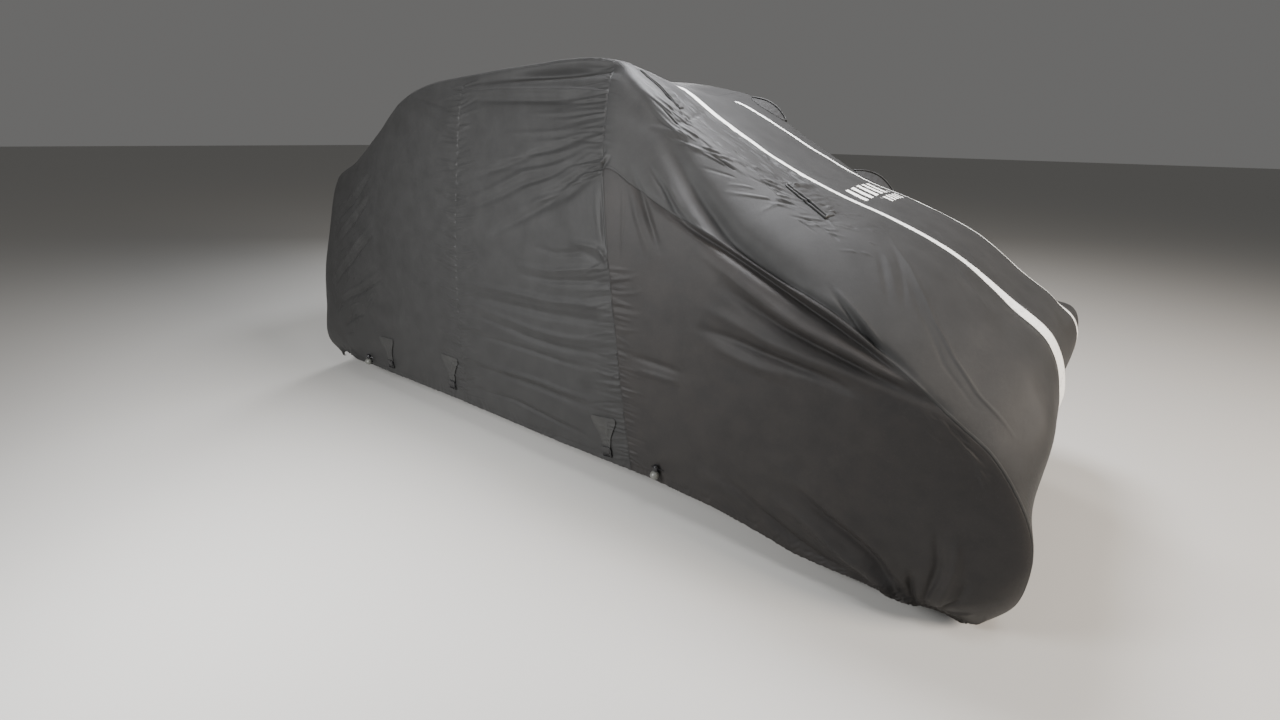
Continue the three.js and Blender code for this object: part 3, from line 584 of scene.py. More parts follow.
def makeSurface():
    u, v = (a.ravel() for a in np.meshgrid(rowLines, girthLines, indexing="ij"))
    points, normal = clothPoints(u, v)
    size = (len(rowLines), len(girthLines), 3)
    taut = tautPoints(u, v).reshape(size)
    alongRow = np.linalg.norm(np.diff(taut, axis=0), axis=2)
    alongGirth = np.linalg.norm(np.diff(taut, axis=1), axis=2)
    cutU = np.vstack([np.zeros((1, size[1])), np.cumsum(alongRow, axis=0)])
    cutV = np.hstack([np.zeros((size[0], 1)), np.cumsum(alongGirth, axis=1)])
    return points.reshape(size), normal.reshape(size), np.stack([cutU, cutV], axis=2)


surface, outward, cut = makeSurface()
print("surface made")


def meshObject(name, points, faces, uvs=None, smooth=True):
    made = bpy.data.meshes.new(name)
    made.from_pydata([tuple(p) for p in points], [], faces)
    if uvs is not None:
        layer = made.uv_layers.new(name="cut")
        index = np.zeros(len(made.loops), dtype=np.int32)
        made.loops.foreach_get("vertex_index", index)
        layer.data.foreach_set("uv", np.asarray(uvs, dtype=np.float32)[index].ravel())
    made.polygons.foreach_set("use_smooth", np.full(len(made.polygons), smooth))
    piece = bpy.data.objects.new(name, made)
    bpy.context.scene.collection.objects.link(piece)
    return piece


def gridFaces(rows, cols):
    k = np.arange(rows * cols).reshape(rows, cols)
    return np.stack([k[:-1, :-1], k[1:, :-1], k[1:, 1:], k[:-1, 1:]], axis=2).reshape(-1, 4).tolist()


def hemRolled(points, normals, ends):
    # carries the cloth round a rolled hem at the ends named: the first or last row or column of the grid
    radius = relief["hemRoll"] * mm
    for end in ends:
        flip = end in ("lastRow", "lastCol")
        cols = end in ("firstCol", "lastCol")
        p = np.swapaxes(points, 0, 1) if cols else points
        n = np.swapaxes(normals, 0, 1) if cols else normals
        p, n = (p[::-1], n[::-1]) if flip else (p, n)
        outwardWay = p[0] - p[2]
        outwardWay -= (outwardWay * n[0]).sum(axis=1, keepdims=True) * n[0]
        outwardWay /= np.linalg.norm(outwardWay, axis=1, keepdims=True)
        roll = []
        for turn in (250, 190, 130, 75, 35):
            a = math.radians(turn)
            roll.append(p[0] + outwardWay * radius * math.sin(a) - n[0] * radius * (1 - math.cos(a)))
        p = np.concatenate([np.stack(roll), p])
        n = np.concatenate([np.repeat(n[:1], len(roll), axis=0), n])
        p, n = (p[::-1], n[::-1]) if flip else (p, n)
        points = np.swapaxes(p, 0, 1) if cols else p
        normals = np.swapaxes(n, 0, 1) if cols else n
    return points


def panel(name, uSpan, vSpan, hems):
    i = np.nonzero((rowLines >= uSpan[0] - 1e-6) & (rowLines <= uSpan[1] + 1e-6))[0]
    j = np.nonzero((girthLines >= vSpan[0] - 1e-6) & (girthLines <= vSpan[1] + 1e-6))[0]
    points, normals = surface[np.ix_(i, j)], outward[np.ix_(i, j)]
    uvs = cut[np.ix_(i, j)]
    rolled = hemRolled(points, normals, hems)
    before = [[0, 0], [0, 0]]
    for end in hems:
        axis = 1 if end.endswith("Col") else 0
        before[axis][1 if end.startswith("last") else 0] = 5
    uvs = np.pad(uvs, (*[tuple(b) for b in before], (0, 0)), mode="edge")
    rows, cols = rolled.shape[:2]
    piece = meshObject(name, rolled.reshape(-1, 3), gridFaces(rows, cols), uvs.reshape(-1, 2))
    print(name, rows, "by", cols, "about", 2 * rows * cols, "triangles")
    return piece


# nodes and materials


def linear(hexColour, alpha=1.0):
    parts = [int(hexColour[k:k + 2], 16) / 255 for k in (1, 3, 5)]
    return (*[c / 12.92 if c <= 0.04045 else ((c + 0.055) / 1.055) ** 2.4 for c in parts], alpha)


def node(tree, kind, settings=None, links=None):
    # adds a node, sets its fields and sockets, and links other nodes' outputs to its inputs
    made = tree.nodes.new("ShaderNode" + kind)
    for key, value in (settings or {}).items():
        if isinstance(key, str) and hasattr(made, key):
            setattr(made, key, value)
        else:
            made.inputs[key].default_value = value
    for key, source in (links or {}).items():
        tree.links.new(source, made.inputs[key])
    return made


def newMaterial(name):
    material = bpy.data.materials.new(name)
    material.use_nodes = True
    tree = material.node_tree
    tree.nodes.clear()
    return material, tree


def finishMaterial(tree, shader):
    out = node(tree, "OutputMaterial")
    tree.links.new(shader.outputs["BSDF"], out.inputs["Surface"])


# Plain-woven coated polyester. The eye sees a matt dark grey with a soft glow where light grazes it.
cloth = {"dark": "#282828", "light": "#303030", "dust": "#403f3e", "roughness": 0.54, "threadEvery": 2.4}


def printedBars(tree, s, uv, under, speck):
    # rows of slanted white bars screen-printed between the tapes, worn a little
    apart = node(tree, "SeparateXYZ", {}, {0: uv})
    along, across = apart.outputs[0], apart.outputs[1]
    shown = None
    for row in s["rows"]:
        slid = node(tree, "Math", {"operation": "MULTIPLY_ADD", 1: s["slant"]}, {0: along, 2: across})
        phase = node(tree, "Math", {"operation": "PINGPONG", 1: row["pitch"] / 2}, {0: slid.outputs[0]})
        inks = [node(tree, "Math", {"operation": "GREATER_THAN", 1: row["pitch"] * row["gap"]},
                     {0: phase.outputs[0]})]
        for source, (low, high) in ((along, row["along"]), (across, row["across"])):
            inks.append(node(tree, "Math", {"operation": "GREATER_THAN", 1: low}, {0: source}))
            inks.append(node(tree, "Math", {"operation": "LESS_THAN", 1: high}, {0: source}))
        ink = inks[0].outputs[0]
        for other in inks[1:]:
            ink = node(tree, "Math", {"operation": "MULTIPLY"}, {0: ink, 1: other.outputs[0]}).outputs[0]
        if shown is not None:
            ink = node(tree, "Math", {"operation": "MAXIMUM"}, {0: ink, 1: shown}).outputs[0]
        shown = ink
    worn = node(tree, "MapRange", {"From Min": 0.2, "From Max": 0.42, "To Min": 0.35}, {"Value": speck})
    ink = node(tree, "Math", {"operation": "MULTIPLY"}, {0: shown, 1: worn.outputs[0]})
    return node(tree, "Mix", {"data_type": "RGBA", 7: linear(s["colour"])},
                {0: ink.outputs[0], 6: under.outputs[2]})


def wovenPolyester(name, s, printed=None):
    material, tree = newMaterial(name)
    where = node(tree, "TexCoord")
    uv = where.outputs["UV"]
    place = where.outputs["Object"]
    blotch = node(tree, "TexNoise", {"Scale": 11.0, "Detail": 7.0, "Roughness": 0.66}, {"Vector": place})
    tone = node(tree, "ValToRGB", {}, {"Fac": blotch.outputs["Fac"]})
    tone.color_ramp.elements[0].position, tone.color_ramp.elements[1].position = 0.3, 0.72
    tone.color_ramp.elements[0].color = linear(s["dark"])
    tone.color_ramp.elements[1].color = linear(s["light"])
    speck = node(tree, "TexNoise", {"Scale": 160.0, "Detail": 3.0, "Roughness": 0.7}, {"Vector": place})
    dusty = node(tree, "MapRange", {"From Min": 0.56, "From Max": 0.85, "To Max": 0.35},
                 {"Value": speck.outputs["Fac"]})
    colour = node(tree, "Mix", {"data_type": "RGBA", 7: linear(s["dust"])},
                  {0: dusty.outputs["Result"], 6: tone.outputs["Color"]})
    if printed:
        colour = printedBars(tree, printed, uv, colour, speck.outputs["Fac"])
    thread = []
    for direction in ("X", "Y"):
        scale = 2 * math.pi / (20 * s["threadEvery"] * mm)
        wave = node(tree, "TexWave", {"bands_direction": direction, "Distortion": 0.6, "Scale": scale},
                    {"Vector": uv})
        thread.append(wave.outputs["Fac"])
    weave = node(tree, "Math", {"operation": "MULTIPLY"}, {0: thread[0], 1: thread[1]})
    weaveBump = node(tree, "Bump", {"Strength": 0.3, "Distance": 0.0007}, {"Height": weave.outputs[0]})
    crush = node(tree, "TexNoise", {"Scale": 34.0, "Detail": 6.0, "Roughness": 0.62, "Distortion": 0.5},
                 {"Vector": place})
    bump = node(tree, "Bump", {"Strength": 0.35, "Distance": 0.0022},
                {"Height": crush.outputs["Fac"], "Normal": weaveBump.outputs["Normal"]})
    shader = node(tree, "BsdfPrincipled",
                  {"Roughness": s["roughness"], "IOR": 1.5, "Specular IOR Level": 0.2, "Sheen Weight": 0.05,
                   "Sheen Roughness": 0.45, "Sheen Tint": linear("#96948f")},
                  {"Base Color": colour.outputs[2], "Normal": bump.outputs["Normal"]})
    finishMaterial(tree, shader)
    return material


# Silver-white reflective tape: glass beads on a woven band. The eye sees a clean bright satin band.
tape = {
    "colour": "#f0f1ee", "worn": "#c9cac6", "roughness": 0.38,
    "wide": 50, "lift": 1.0, "thick": 0.7, "step": 9, "across": 8, "ends": (12.78, 22.0),
}


def reflectiveTape(name, s):
    material, tree = newMaterial(name)
    where = node(tree, "TexCoord")
    blotch = node(tree, "TexNoise", {"Scale": 45.0, "Detail": 6.0, "Roughness": 0.65},
                  {"Vector": where.outputs["Object"]})
    tone = node(tree, "ValToRGB", {}, {"Fac": blotch.outputs["Fac"]})
    tone.color_ramp.elements[0].position, tone.color_ramp.elements[1].position = 0.28, 0.5
    tone.color_ramp.elements[0].color = linear(s["worn"])
    tone.color_ramp.elements[1].color = linear(s["colour"])
    bump = node(tree, "Bump", {"Strength": 0.3, "Distance": 0.001}, {"Height": blotch.outputs["Fac"]})
    shader = node(tree, "BsdfPrincipled", {"Roughness": s["roughness"], "IOR": 1.5},
                  {"Base Color": tone.outputs["Color"], "Normal": bump.outputs["Normal"]})
    finishMaterial(tree, shader)
    return material


def plainPlastic(name, hexColour, roughness):
    material, tree = newMaterial(name)
    where = node(tree, "TexCoord")
    grain = node(tree, "TexNoise", {"Scale": 900.0, "Detail": 2.0}, {"Vector": where.outputs["Object"]})
    bump = node(tree, "Bump", {"Strength": 0.15, "Distance": 0.0003}, {"Height": grain.outputs["Fac"]})
    shader = node(tree, "BsdfPrincipled",
                  {"Base Color": linear(hexColour), "Roughness": roughness, "IOR": 1.48},
                  {"Normal": bump.outputs["Normal"]})
    finishMaterial(tree, shader)
    return material


clothFinish = wovenPolyester("woven coated polyester", cloth)
tapeFinish = reflectiveTape("reflective tape", tape)


def cutAt(u, v):
    # where a place of the cover lies in the cut cloth, in metres
    i, j = np.abs(rowLines - u).argmin(), np.abs(girthLines - v).argmin()
    return cut[i, j]


near, far = cutAt(16.18, -0.8), cutAt(16.84, 0.6)
step = far - near
# Screen-printed ink on the same cloth. The eye sees crisp white marks, a little rubbed.
ink = {
    "colour": "#e9e9e5", "slant": 0.35,
    "rows": [
        {"along": (near[0], near[0] + 0.6 * step[0]), "across": (near[1], far[1]),
         "pitch": 0.068, "gap": 0.25},
        {"along": (near[0] + 0.72 * step[0], far[0]), "across": (near[1] + 0.36 * step[1], far[1]),
         "pitch": 0.044, "gap": 0.26},
    ],
}
hoodFinish = wovenPolyester("printed woven polyester", cloth, ink)
# The wing panels use a darker and warmer copy of the cloth. The darkness is painted shade, where the wing
# lies in shade.
shadedWingCloth = {**cloth, "dark": "#242323", "light": "#2c2a29"}
shadedWingFinish = wovenPolyester("woven coated polyester, painted shade", shadedWingCloth)
# The piping uses a slightly lighter copy of the cloth: painted light, where the raised cords catch the light.
litPipeCloth = {**cloth, "dark": "#2b2b2b", "light": "#343433", "dust": "#4a4946"}
litPipeFinish = wovenPolyester("bias-bound piping, painted light", litPipeCloth)
# The tabs use a lighter copy of the cloth: painted light, where the tabs stand off the panel and catch the
# light.
litTabCloth = {**cloth, "dark": "#2d2d2d", "light": "#383837"}
litTabFinish = wovenPolyester("doubled woven polyester, painted light", litTabCloth)
acetal = plainPlastic("moulded black acetal", "#1b1b1c", 0.36)
gloss = plainPlastic("glossy black plastic", "#17171a", 0.2)
ballFinish = plainPlastic("moulded grey nylon", "#5c5d59", 0.3)


# the panels, each in place of its CAD node

panels = [
    ("roof_panel", (0, 12), (-2, 2), ("firstRow",), "cloth"),
    ("hood_panel", (12, lastRow), (-3, 3), ("lastRow",), "cloth"),
    ("rear_quarter_right", (0, 9), (-5, -2), ("firstRow", "firstCol"), "cloth"),
    ("door_panel_right", (9, 12), (-5, -2), ("firstCol",), "cloth"),
    ("wing_panel_right", (12, lastRow), (-5, -3), ("lastRow", "firstCol"), "wing_cloth"),
    ("rear_quarter_left", (0, 9), (2, 5), ("firstRow", "lastCol"), "cloth"),
    ("door_panel_left", (9, 12), (2, 5), ("lastCol",), "cloth"),
    ("wing_panel_left", (12, lastRow), (3, 5), ("lastRow", "lastCol"), "wing_cloth"),
]


for name, uSpan, vSpan, hems, slot in panels:
    piece = panel(name + "_cloth", uSpan, vSpan, hems)
    # the wing panels get the darker copy of the cloth, with its painted shade
    piece.data.materials.append({"hood": hoodFinish, "wing": shadedWingFinish}.get(name[:4], clothFinish))
    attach(piece, body)
    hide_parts(name)
print("panels made")


bothSides = (("right", -1), ("left", 1))

# reflective tapes, laid over the cloth and crinkled with it


def tapeStrip(name, side, s):
    u = np.linspace(*s["ends"], 400)
    middle = tautPoints(u, np.full(400, side))
    run = runAlong(middle)
    rows = int(run[-1] / (s["step"] * mm))
    u = np.interp(np.linspace(0, run[-1], rows), run, u)
    frames = tautFrames(u, np.full(rows, float(side)))
    perV = np.linalg.norm(frames[2], axis=1)
    across = np.linspace(-0.5, 0.5, s["across"] + 1)
    places = side + across[None, :] * s["wide"] * mm / perV[:, None]
    flatU = np.repeat(u, s["across"] + 1)
    points, normal = clothPoints(flatU, places.ravel(), s["lift"] * mm)
    points = points.reshape(rows, -1, 3)
    uvs = np.stack(np.meshgrid(np.linspace(0, run[-1], rows), across * s["wide"] * mm, indexing="ij"), axis=2)
    piece = meshObject(name, points.reshape(-1, 3), gridFaces(*points.shape[:2]), uvs.reshape(-1, 2))
    thick = piece.modifiers.new("tape thickness", "SOLIDIFY")
    thick.thickness, thick.offset = s["thick"] * mm, -1
    return piece, run[-1]


for label, side in bothSides:
    piece, long = tapeStrip(f"tape_{label}_band", side, tape)
    piece.data.materials.append(tapeFinish)
    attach(piece, body)
    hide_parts(f"tape_{label}")
print("tapes made")

# trim sewn on the cloth, placed by two places u, v on the cover: where it starts and where it runs to


def trimSeat(place, towards):
    start, up = (a[0] for a in clothPoints([place[0]], [place[1]]))
    end = clothPoints([towards[0]], [towards[1]])[0][0]
    along = end - start
    along -= (along @ up) * up
    along /= np.linalg.norm(along)
    return {"place": place, "origin": start, "up": up, "along": along, "across": np.cross(up, along)}


def overCloth(seat, a, b, height):
    # a, b: mm along and across the seat, brought down on the cloth and raised by height
    a, b, height = (np.asarray(x, float).ravel() for x in np.broadcast_arrays(a, b, height))
    target = seat["origin"] + a[:, None] * mm * seat["along"] + b[:, None] * mm * seat["across"]
    u = np.full(len(target), float(seat["place"][0]))
    v = np.full(len(target), float(seat["place"][1]))
    for k in range(7):
        here, alongU, alongV, normal = tautFrames(u, v)
        miss = target - here
        uu, uv, vv = ((x * y).sum(axis=1) for x, y in ((alongU, alongU), (alongU, alongV), (alongV, alongV)))
        mu, mv = (miss * alongU).sum(axis=1), (miss * alongV).sum(axis=1)
        scale = uu * vv - uv * uv
        u = np.clip(u + (mu * vv - mv * uv) / scale, 0.05, lastRow - 0.05)
        v = np.clip(v + (mv * uu - mu * uv) / scale, -4.99, 4.99)
    return clothPoints(u, v)[0] + seat["up"] * height[:, None] * mm


def sewn(piece, nodeName, finish):
    piece.data.materials.append(finish)
    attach(piece, body)
    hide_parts(nodeName)


def tube(path, radius, sides=10, closed=False):
    # a round cord carried along a list of points
    path = np.asarray(path)
    ahead = np.roll(path, -1, axis=0) - np.roll(path, 1, axis=0)
    if not closed:
        ahead[0], ahead[-1] = path[1] - path[0], path[-1] - path[-2]
    ahead /= np.linalg.norm(ahead, axis=1, keepdims=True)
    side = np.cross(ahead, (0.13, 0.21, 0.97))
    side /= np.linalg.norm(side, axis=1, keepdims=True)
    other = np.cross(ahead, side)
    turn = np.arange(sides) / sides * 2 * math.pi
    ring = side[:, None] * np.cos(turn)[:, None] + other[:, None] * np.sin(turn)[:, None]
    points = (path[:, None] + ring * radius * mm).reshape(-1, 3)
    faces = []
    rows = len(path)
    for i in range(rows if closed else rows - 1):
        for j in range(sides):
            k, n = (i + 1) % rows, (j + 1) % sides
            faces.append((i * sides + j, i * sides + n, k * sides + n, k * sides + j))
    if not closed:
        faces += [tuple(range(sides))[::-1], tuple((rows - 1) * sides + j for j in range(sides))]
    return points, faces


def merged(parts):
    points, faces = [], []
    for somePoints, someFaces in parts:
        start = sum(len(p) for p in points)
        points.append(np.asarray(somePoints))
        faces += [tuple(start + k for k in face) for face in someFaces]
    return np.vstack(points), faces


# Vents: hoods of cloth over a mouth edged with two rows of piping. The right ones have sagged shut.
vents = {
    "hood_vent": {
        "mouth": ((15.6, 1.67), (16.5, 2.0)), "long": 210, "deep": 110,
        "rise": (4, 36), "bow": (0, 14), "pipe": (3.6, 4), "apart": (8, 9),
    },
    "pillar_vent": {
        "mouth": ((12.6, 1.74), (13.75, 1.78)), "long": 230, "deep": 75,
        "rise": (2, 26), "bow": (0, 8), "pipe": (2, 4), "apart": (3.5, 9),
    },
}
ventMake = {
    "lift": 2.2, "thick": 1.4, "endShare": 0.35, "arch": 0.8, "slope": 1.2, "grid": (56, 26),
    "stitch": (0.9, 3, 2.4),    # depth, half width, and how many of these the line lies from the edge
    "pucker": (1.1, 41),        # height and turns along the mouth
}


def ventPoints(seat, inward, v, rise, bow, s, t, extra=0.0):
    s, t = (np.asarray(x, float) for x in np.broadcast_arrays(s, t))
    arch = np.sin(math.pi * s)
    reach = v["deep"] * t * (ventMake["endShare"] + (1 - ventMake["endShare"]) * arch) - bow * arch
    height = rise * np.clip(arch, 0, 1) ** ventMake["arch"] * (1 - t) ** ventMake["slope"]
    deep, half, fromEdge = ventMake["stitch"]
    sewnDown = -deep * np.exp(-((1 - t) * v["deep"] / half - fromEdge) ** 2)
    high, turns = ventMake["pucker"]
    puckers = high * np.sin(s * turns) * t * (1 - t) * 4
    raised = ventMake["lift"] + height + sewnDown + puckers + extra
    return overCloth(seat, v["long"] * s, inward * reach, raised)


for name, vent in vents.items():
    for label, side in bothSides:
        rise, bow, pipe, apart = (vent[key][0 if side < 0 else 1] for key in ("rise", "bow", "pipe", "apart"))
        seat = trimSeat(*[(u, side * v) for u, v in vent["mouth"]])
        inward = 1 if seat["across"][1] * side < 0 else -1
        rows, cols = ventMake["grid"]
        s, t = np.meshgrid(np.linspace(0, 1, rows), np.linspace(0, 1, cols), indexing="ij")
        points = ventPoints(seat, inward, vent, rise, bow, s, t)
        faces = gridFaces(rows, cols)
        if inward < 0:
            faces = [face[::-1] for face in faces]
        uvs = np.stack([s * vent["long"] * mm, t * vent["deep"] * mm], axis=2).reshape(-1, 2)
        hood = meshObject(f"{name}_{label}_cloth", points, faces, uvs)
        thick = hood.modifiers.new("cloth thickness", "SOLIDIFY")
        thick.thickness, thick.offset = ventMake["thick"] * mm, -1
        sewn(hood, f"{name}_{label}", clothFinish)
        s = np.linspace(0.01, 0.99, 44)
        upper = ventPoints(seat, inward, vent, rise, bow, s, 0 * s, pipe)
        arch = np.sin(math.pi * s)
        out = bow * arch + apart + 1.5
        lower = overCloth(seat, vent["long"] * s, -inward * out, pipe + 0.6)
        bend = overCloth(seat, np.array([-4, -6, -4]), -inward * np.array([0.9, 0.5, 0.1]) * apart, pipe + 1)
        path = np.concatenate([lower[::-1], bend, upper])
        knot = tube([lower[-1] + (upper[-1] - lower[-1]) * k for k in (-0.4, 0, 0.5, 1, 1.4)], pipe + 1)
        cord, cordFaces = merged([tube(path, pipe), knot])
        edge = meshObject(f"{name}_{label}_edge", cord, cordFaces)
        # the piping's finish is the lighter copy of the cloth, with its painted light
        sewn(edge, f"{name}_piping_{label}", litPipeFinish)
print("vents made")


# Strap tabs: a taper of doubled cloth, sewn on above the hem, folded over and stitched along its edges.
tabMake = {
    "long": 150, "halfWidths": (74, 66, 50, 34, 26, 24), "grid": (52, 34), "lift": 3.6, "thick": 2.4,
    "flat": (0.148, 0.15), "corners": (16, 13),
    "stitch": (0.8, 8, 2),      # depth, how far in, half width
    "ridge": (3, 0.34, 0.17),   # height, place and half width across the tab
    "dip": (-2.2, -0.1, 0.22),
    "curl": (2.5, 0.6),         # height, and where across the tab it begins
    "foot": (3.5, 0.86),        # height, and where along the tab it begins
}
tabPlaces = {"front": (11.6, 4.5), "middle": (8.6, 4.41), "rear": (6.15, 4.46)}


def makeTab(name, nodeName, seat, lean):
    rows, cols = tabMake["grid"]
    s, k = np.meshgrid(np.linspace(0, 1, rows), np.linspace(-1, 1, cols), indexing="ij")
    half = np.interp(s, np.linspace(0, 1, len(tabMake["halfWidths"])), tabMake["halfWidths"])
    cornerLong, cornerWide = tabMake["corners"]
    corner = np.clip(s * tabMake["long"] / cornerLong, 0, 1)
    half = half - cornerWide * (1 - np.sqrt(1 - (1 - corner) ** 2))
    fromEdge = (1 - np.abs(k)) * half
    fromTop = s * tabMake["long"]
    deep, inset, wide = tabMake["stitch"]
    stitch = -deep * np.exp(-((np.minimum(fromEdge, fromTop) - inset) / wide) ** 2)
    high, place, wide = tabMake["ridge"]
    ridge = high * np.exp(-((k - place * lean) / wide) ** 2) * np.sin(math.pi * np.clip(s * 1.1, 0, 1))
    high, place, wide = tabMake["dip"]
    dip = high * np.exp(-((k - place * lean) / wide) ** 2) * np.sin(math.pi * s)
    high, start = tabMake["curl"]
    curl = high * np.clip((k * lean - start) / 0.4, 0, 1) ** 2 * np.sin(math.pi * np.clip(s, 0, 1)) ** 0.7
    high, start = tabMake["foot"]
    foot = high * np.clip((s - start) / 0.14, 0, 1)
    height = tabMake["lift"] + stitch + ridge + dip + curl + foot
    points = overCloth(seat, fromTop, k * half, height)
    uvs = np.stack([fromTop * mm, k * half * mm], axis=2).reshape(-1, 2)
    piece = meshObject(name, points, gridFaces(rows, cols), uvs)
    thick = piece.modifiers.new("doubled cloth", "SOLIDIFY")
    thick.thickness, thick.offset = tabMake["thick"] * mm, -1
    # the tab's finish is the lighter copy of the cloth, with its painted light
    sewn(piece, nodeName, litTabFinish)


# Side-release buckles: a socket with two side windows, a plug with its prongs, and a ladder for the strap.
buckleMake = {"wide": 54, "thick": 12}


def plate(corners, low, high, rounded=3.0):
    # a flat plate with rounded corners, in the trim's own mm: corners (a, b) in turn
    outline = []
    many = len(corners)
    for i, corner in enumerate(corners):
        here = np.array(corner, float)
        before, after = np.array(corners[i - 1], float), np.array(corners[(i + 1) % many], float)
        toBefore, toAfter = before - here, after - here
        cutBack = min(rounded, np.linalg.norm(toBefore) / 2.2, np.linalg.norm(toAfter) / 2.2)
        p0 = here + toBefore / np.linalg.norm(toBefore) * cutBack
        p2 = here + toAfter / np.linalg.norm(toAfter) * cutBack
        for q in (0, 0.33, 0.67, 1):
            outline.append((1 - q) ** 2 * p0 + 2 * q * (1 - q) * here + q * q * p2)
    count = len(outline)
    middle = np.mean(outline, axis=0)
    rings = []
    soft = 1.3
    for inset, level in ((soft, low), (0, low + soft), (0, high - soft), (soft * 0.3, high - soft * 0.35),
                         (soft, high)):
        ring = [p - (p - middle) / np.linalg.norm(p - middle) * inset for p in outline]
        rings += [(p[0], p[1], level) for p in ring]
    faces = [tuple(range(count))[::-1]]
    for r in range(4):
        for j in range(count):
            n = (j + 1) % count
            faces.append((r * count + j, r * count + n, (r + 1) * count + n, (r + 1) * count + j))
    faces.append(tuple(4 * count + j for j in range(count)))
    return np.array(rings), faces


def bar(a0, a1, b0, b1, low, high):
    return plate([(a0, b0), (a1, b0), (a1, b1), (a0, b1)], low, high, 1.6)


def makeBuckle(name, nodeName, seat):
    w, h = buckleMake["wide"] / 2, buckleMake["thick"]
    parts = [
        plate([(1, -w + 8), (1, w - 8), (9, w - 1), (17, w - 6), (27, w - 7), (30, w - 10), (30, -w + 10),
               (27, -w + 7), (17, -w + 6), (9, -w + 1)], 0.5, h - 0.5, 3),
        plate([(6, -w + 13), (6, w - 13), (24, w - 15), (24, -w + 15)], h - 1.2, h, 4),
        plate([(12, w - 5), (16, w), (30, w - 1.5), (36, w - 4), (36, w - 9), (18, w - 8)], 2, h - 3, 2),
        plate([(12, -w + 5), (18, -w + 8), (36, -w + 9), (36, -w + 4), (30, -w + 1.5), (16, -w)],
              2, h - 3, 2),
        plate([(31.5, -w + 4), (31.5, w - 4), (37, w - 2), (37, -w + 2)], 1, h - 1, 2),
        bar(36, 52, w - 6, w - 1, 1.5, h - 2),
        bar(36, 52, -w + 1, -w + 6, 1.5, h - 2),
        bar(41, 44, -w + 3, w - 3, 2, h - 3),
        bar(48.5, 52, -w + 3, w - 3, 1.5, h - 1),
    ]
    points, faces = merged(parts)
    base = overCloth(seat, 145, 0, 1.2)[0]
    placed = base + (points[:, :1] * seat["along"] + points[:, 1:2] * seat["across"]
                     + points[:, 2:] * seat["up"]) * mm
    sewn(meshObject(name, placed, faces, smooth=False), nodeName, acetal)


for label, side in bothSides:
    for place, (u, v) in tabPlaces.items():
        seat = trimSeat((u, side * v), (u, side * 4.95))
        lean = 1 if seat["across"][0] > 0 else -1
        makeTab(f"strap_tab_{place}_{label}_cloth", f"strap_tab_{place}_{label}", seat, lean)
        makeBuckle(f"buckle_{place}_{label}_moulding", f"buckle_{place}_{label}", seat)
print("tabs made")


# Cord locks: a ribbed spring barrel on the hem's drawcord, with its cord ends held in a ball.
lockMake = {
    "radius": 13, "high": 26, "ball": 20, "cord": 2.2, "gap": 0.7,
    "loop": ((34, -15, 2), (27, -12, 5), (20, -7, 9), (14, -2, 12), (8, 0, 13)),
}
lockPlaces = {"front": (13.36, 4.86), "rear": (5.05, 4.88)}


def lathe(profile, sides=28):
    turn = np.arange(sides) / sides * 2 * math.pi
    points = [(r * math.cos(a), r * math.sin(a), z) for r, z in profile for a in turn]
    faces = [tuple(range(sides))[::-1]]
    for i in range(len(profile) - 1):
        for j in range(sides):
            n = (j + 1) % sides
            faces.append((i * sides + j, i * sides + n, (i + 1) * sides + n, (i + 1) * sides + j))
    faces.append(tuple((len(profile) - 1) * sides + j for j in range(sides)))
    return np.array(points, float), faces


def barrelProfile():
    r, h = lockMake["radius"], lockMake["high"]
    ribs = [(r - (0.9 if k % 2 else 0), 4 + k * 2.2) for k in range(6)]
    return [(2, 0), (r - 2.5, 0), (r - 0.6, 1.2), (r, 3), *ribs, (r - 0.4, 17), (r - 2, 18.4),
            (r - 3.4, 18.6), (r - 3.4, h - 2.2), (r - 4.2, h - 0.6), (r - 6.5, h), (2, h)]


def ballProfile():
    r = lockMake["ball"]
    made = []
    for k in range(25):
        a = -math.pi / 2 + math.pi * k / 24
        seam = 0.5 * math.exp(-((a * r) / 1.2) ** 2)
        made.append((max((r - seam) * math.cos(a), 1.2), (r - seam) * math.sin(a)))
    return made


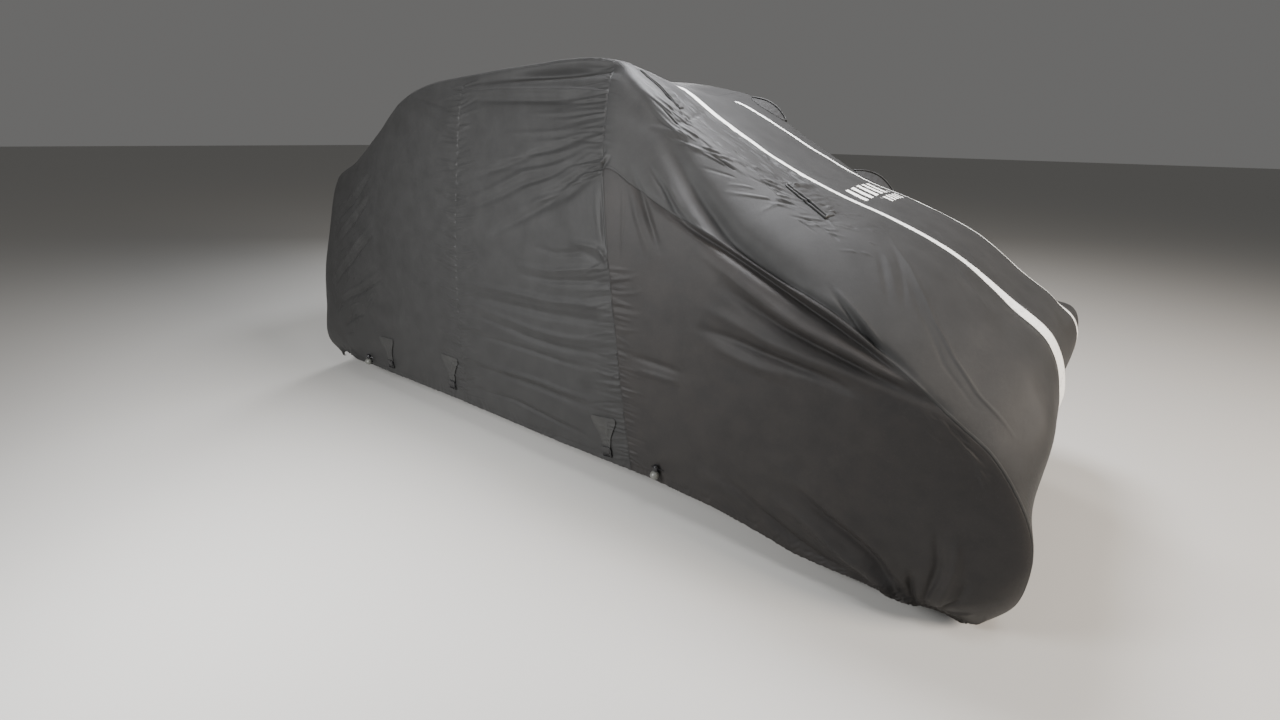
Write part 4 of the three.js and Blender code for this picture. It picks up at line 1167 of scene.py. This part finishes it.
for label, side in bothSides:
    for place, (u, v) in lockPlaces.items():
        seat = trimSeat((u, side * v), (u, side * 4.95))
        foot = overCloth(seat, 0, 0, lockMake["gap"] + lockMake["radius"])[0]
        barrel, barrelFaces = lathe(barrelProfile())
        loops = []
        for ahead in (-1, 1):
            arc = [foot / mm + np.array([ahead * x, side * y, z]) for x, y, z in lockMake["loop"]]
            loops.append(tube(np.array(arc) * mm, lockMake["cord"]))
        loops = [(p / mm, f) for p, f in loops]
        points, faces = merged([(barrel + foot / mm, barrelFaces), *loops])
        lock = meshObject(f"cord_lock_{place}_{label}_barrel", points * mm, faces)
        sewn(lock, f"cord_lock_{place}_{label}", gloss)
        centre = overCloth(seat, 0, 0, lockMake["gap"] + lockMake["ball"])[0]
        centre[2] = foot[2] - (lockMake["ball"] + 0.3) * mm
        points, faces = lathe(ballProfile())
        ball = meshObject(f"cord_ball_{place}_{label}_toggle", points * mm + centre, faces)
        sewn(ball, f"cord_ball_{place}_{label}", ballFinish)
print("cord locks made")


# stage: a plain pale floor and soft studio light

stage = {"floor": "#bdbcb9", "floorAt": -0.04, "size": 60, "world": "#e9e8e6", "worldStrength": 0.18}


def makeStage(s):
    size = s["size"]
    corners = [(x, y, s["floorAt"]) for x, y in ((-size, -size), (size, -size), (size, size), (-size, size))]
    floor = meshObject("floor", corners, [(0, 1, 2, 3)], smooth=False)
    material, tree = newMaterial("pale floor paint")
    paint = {"Base Color": linear(s["floor"]), "Roughness": 0.9}
    finishMaterial(tree, node(tree, "BsdfPrincipled", paint))
    floor.data.materials.append(material)
    world = bpy.data.worlds.new("studio")
    world.use_nodes = True
    background = world.node_tree.nodes["Background"]
    background.inputs["Color"].default_value = linear(s["world"])
    background.inputs["Strength"].default_value = s["worldStrength"]
    bpy.context.scene.world = world


def softLight(name, place, target, size, power, colour="#ffffff"):
    lamp = bpy.data.lights.new(name, "AREA")
    lamp.shape, lamp.size, lamp.energy = "DISK", size, power
    lamp.color = linear(colour)[:3]
    light = bpy.data.objects.new(name, lamp)
    light.location = place
    light.rotation_euler = (Vector(target) - Vector(place)).to_track_quat("-Z", "Y").to_euler()
    bpy.context.scene.collection.objects.link(light)


makeStage(stage)
softLight("overhead key", (0.62, 0.1, 3.35), (0.6, -0.1, 1.4), 1.1, 184, "#f9faff")
softLight("right side", (-0.35, -3.05, 1.8), (-0.2, -0.8, 1.1), 1.1, 134)
softLight("front", (6.9, 0, 3.2), (1.4, 0, 1.0), 2.0, 600, "#fff2e4")
softLight("high right front", (2.2, -1.9, 3.4), (1.3, -0.6, 1.1), 1.0, 42)
softLight("left rear fill", (-3.2, 4.2, 2.6), (0, 0.4, 0.9), 2.4, 260)
print("stage made")
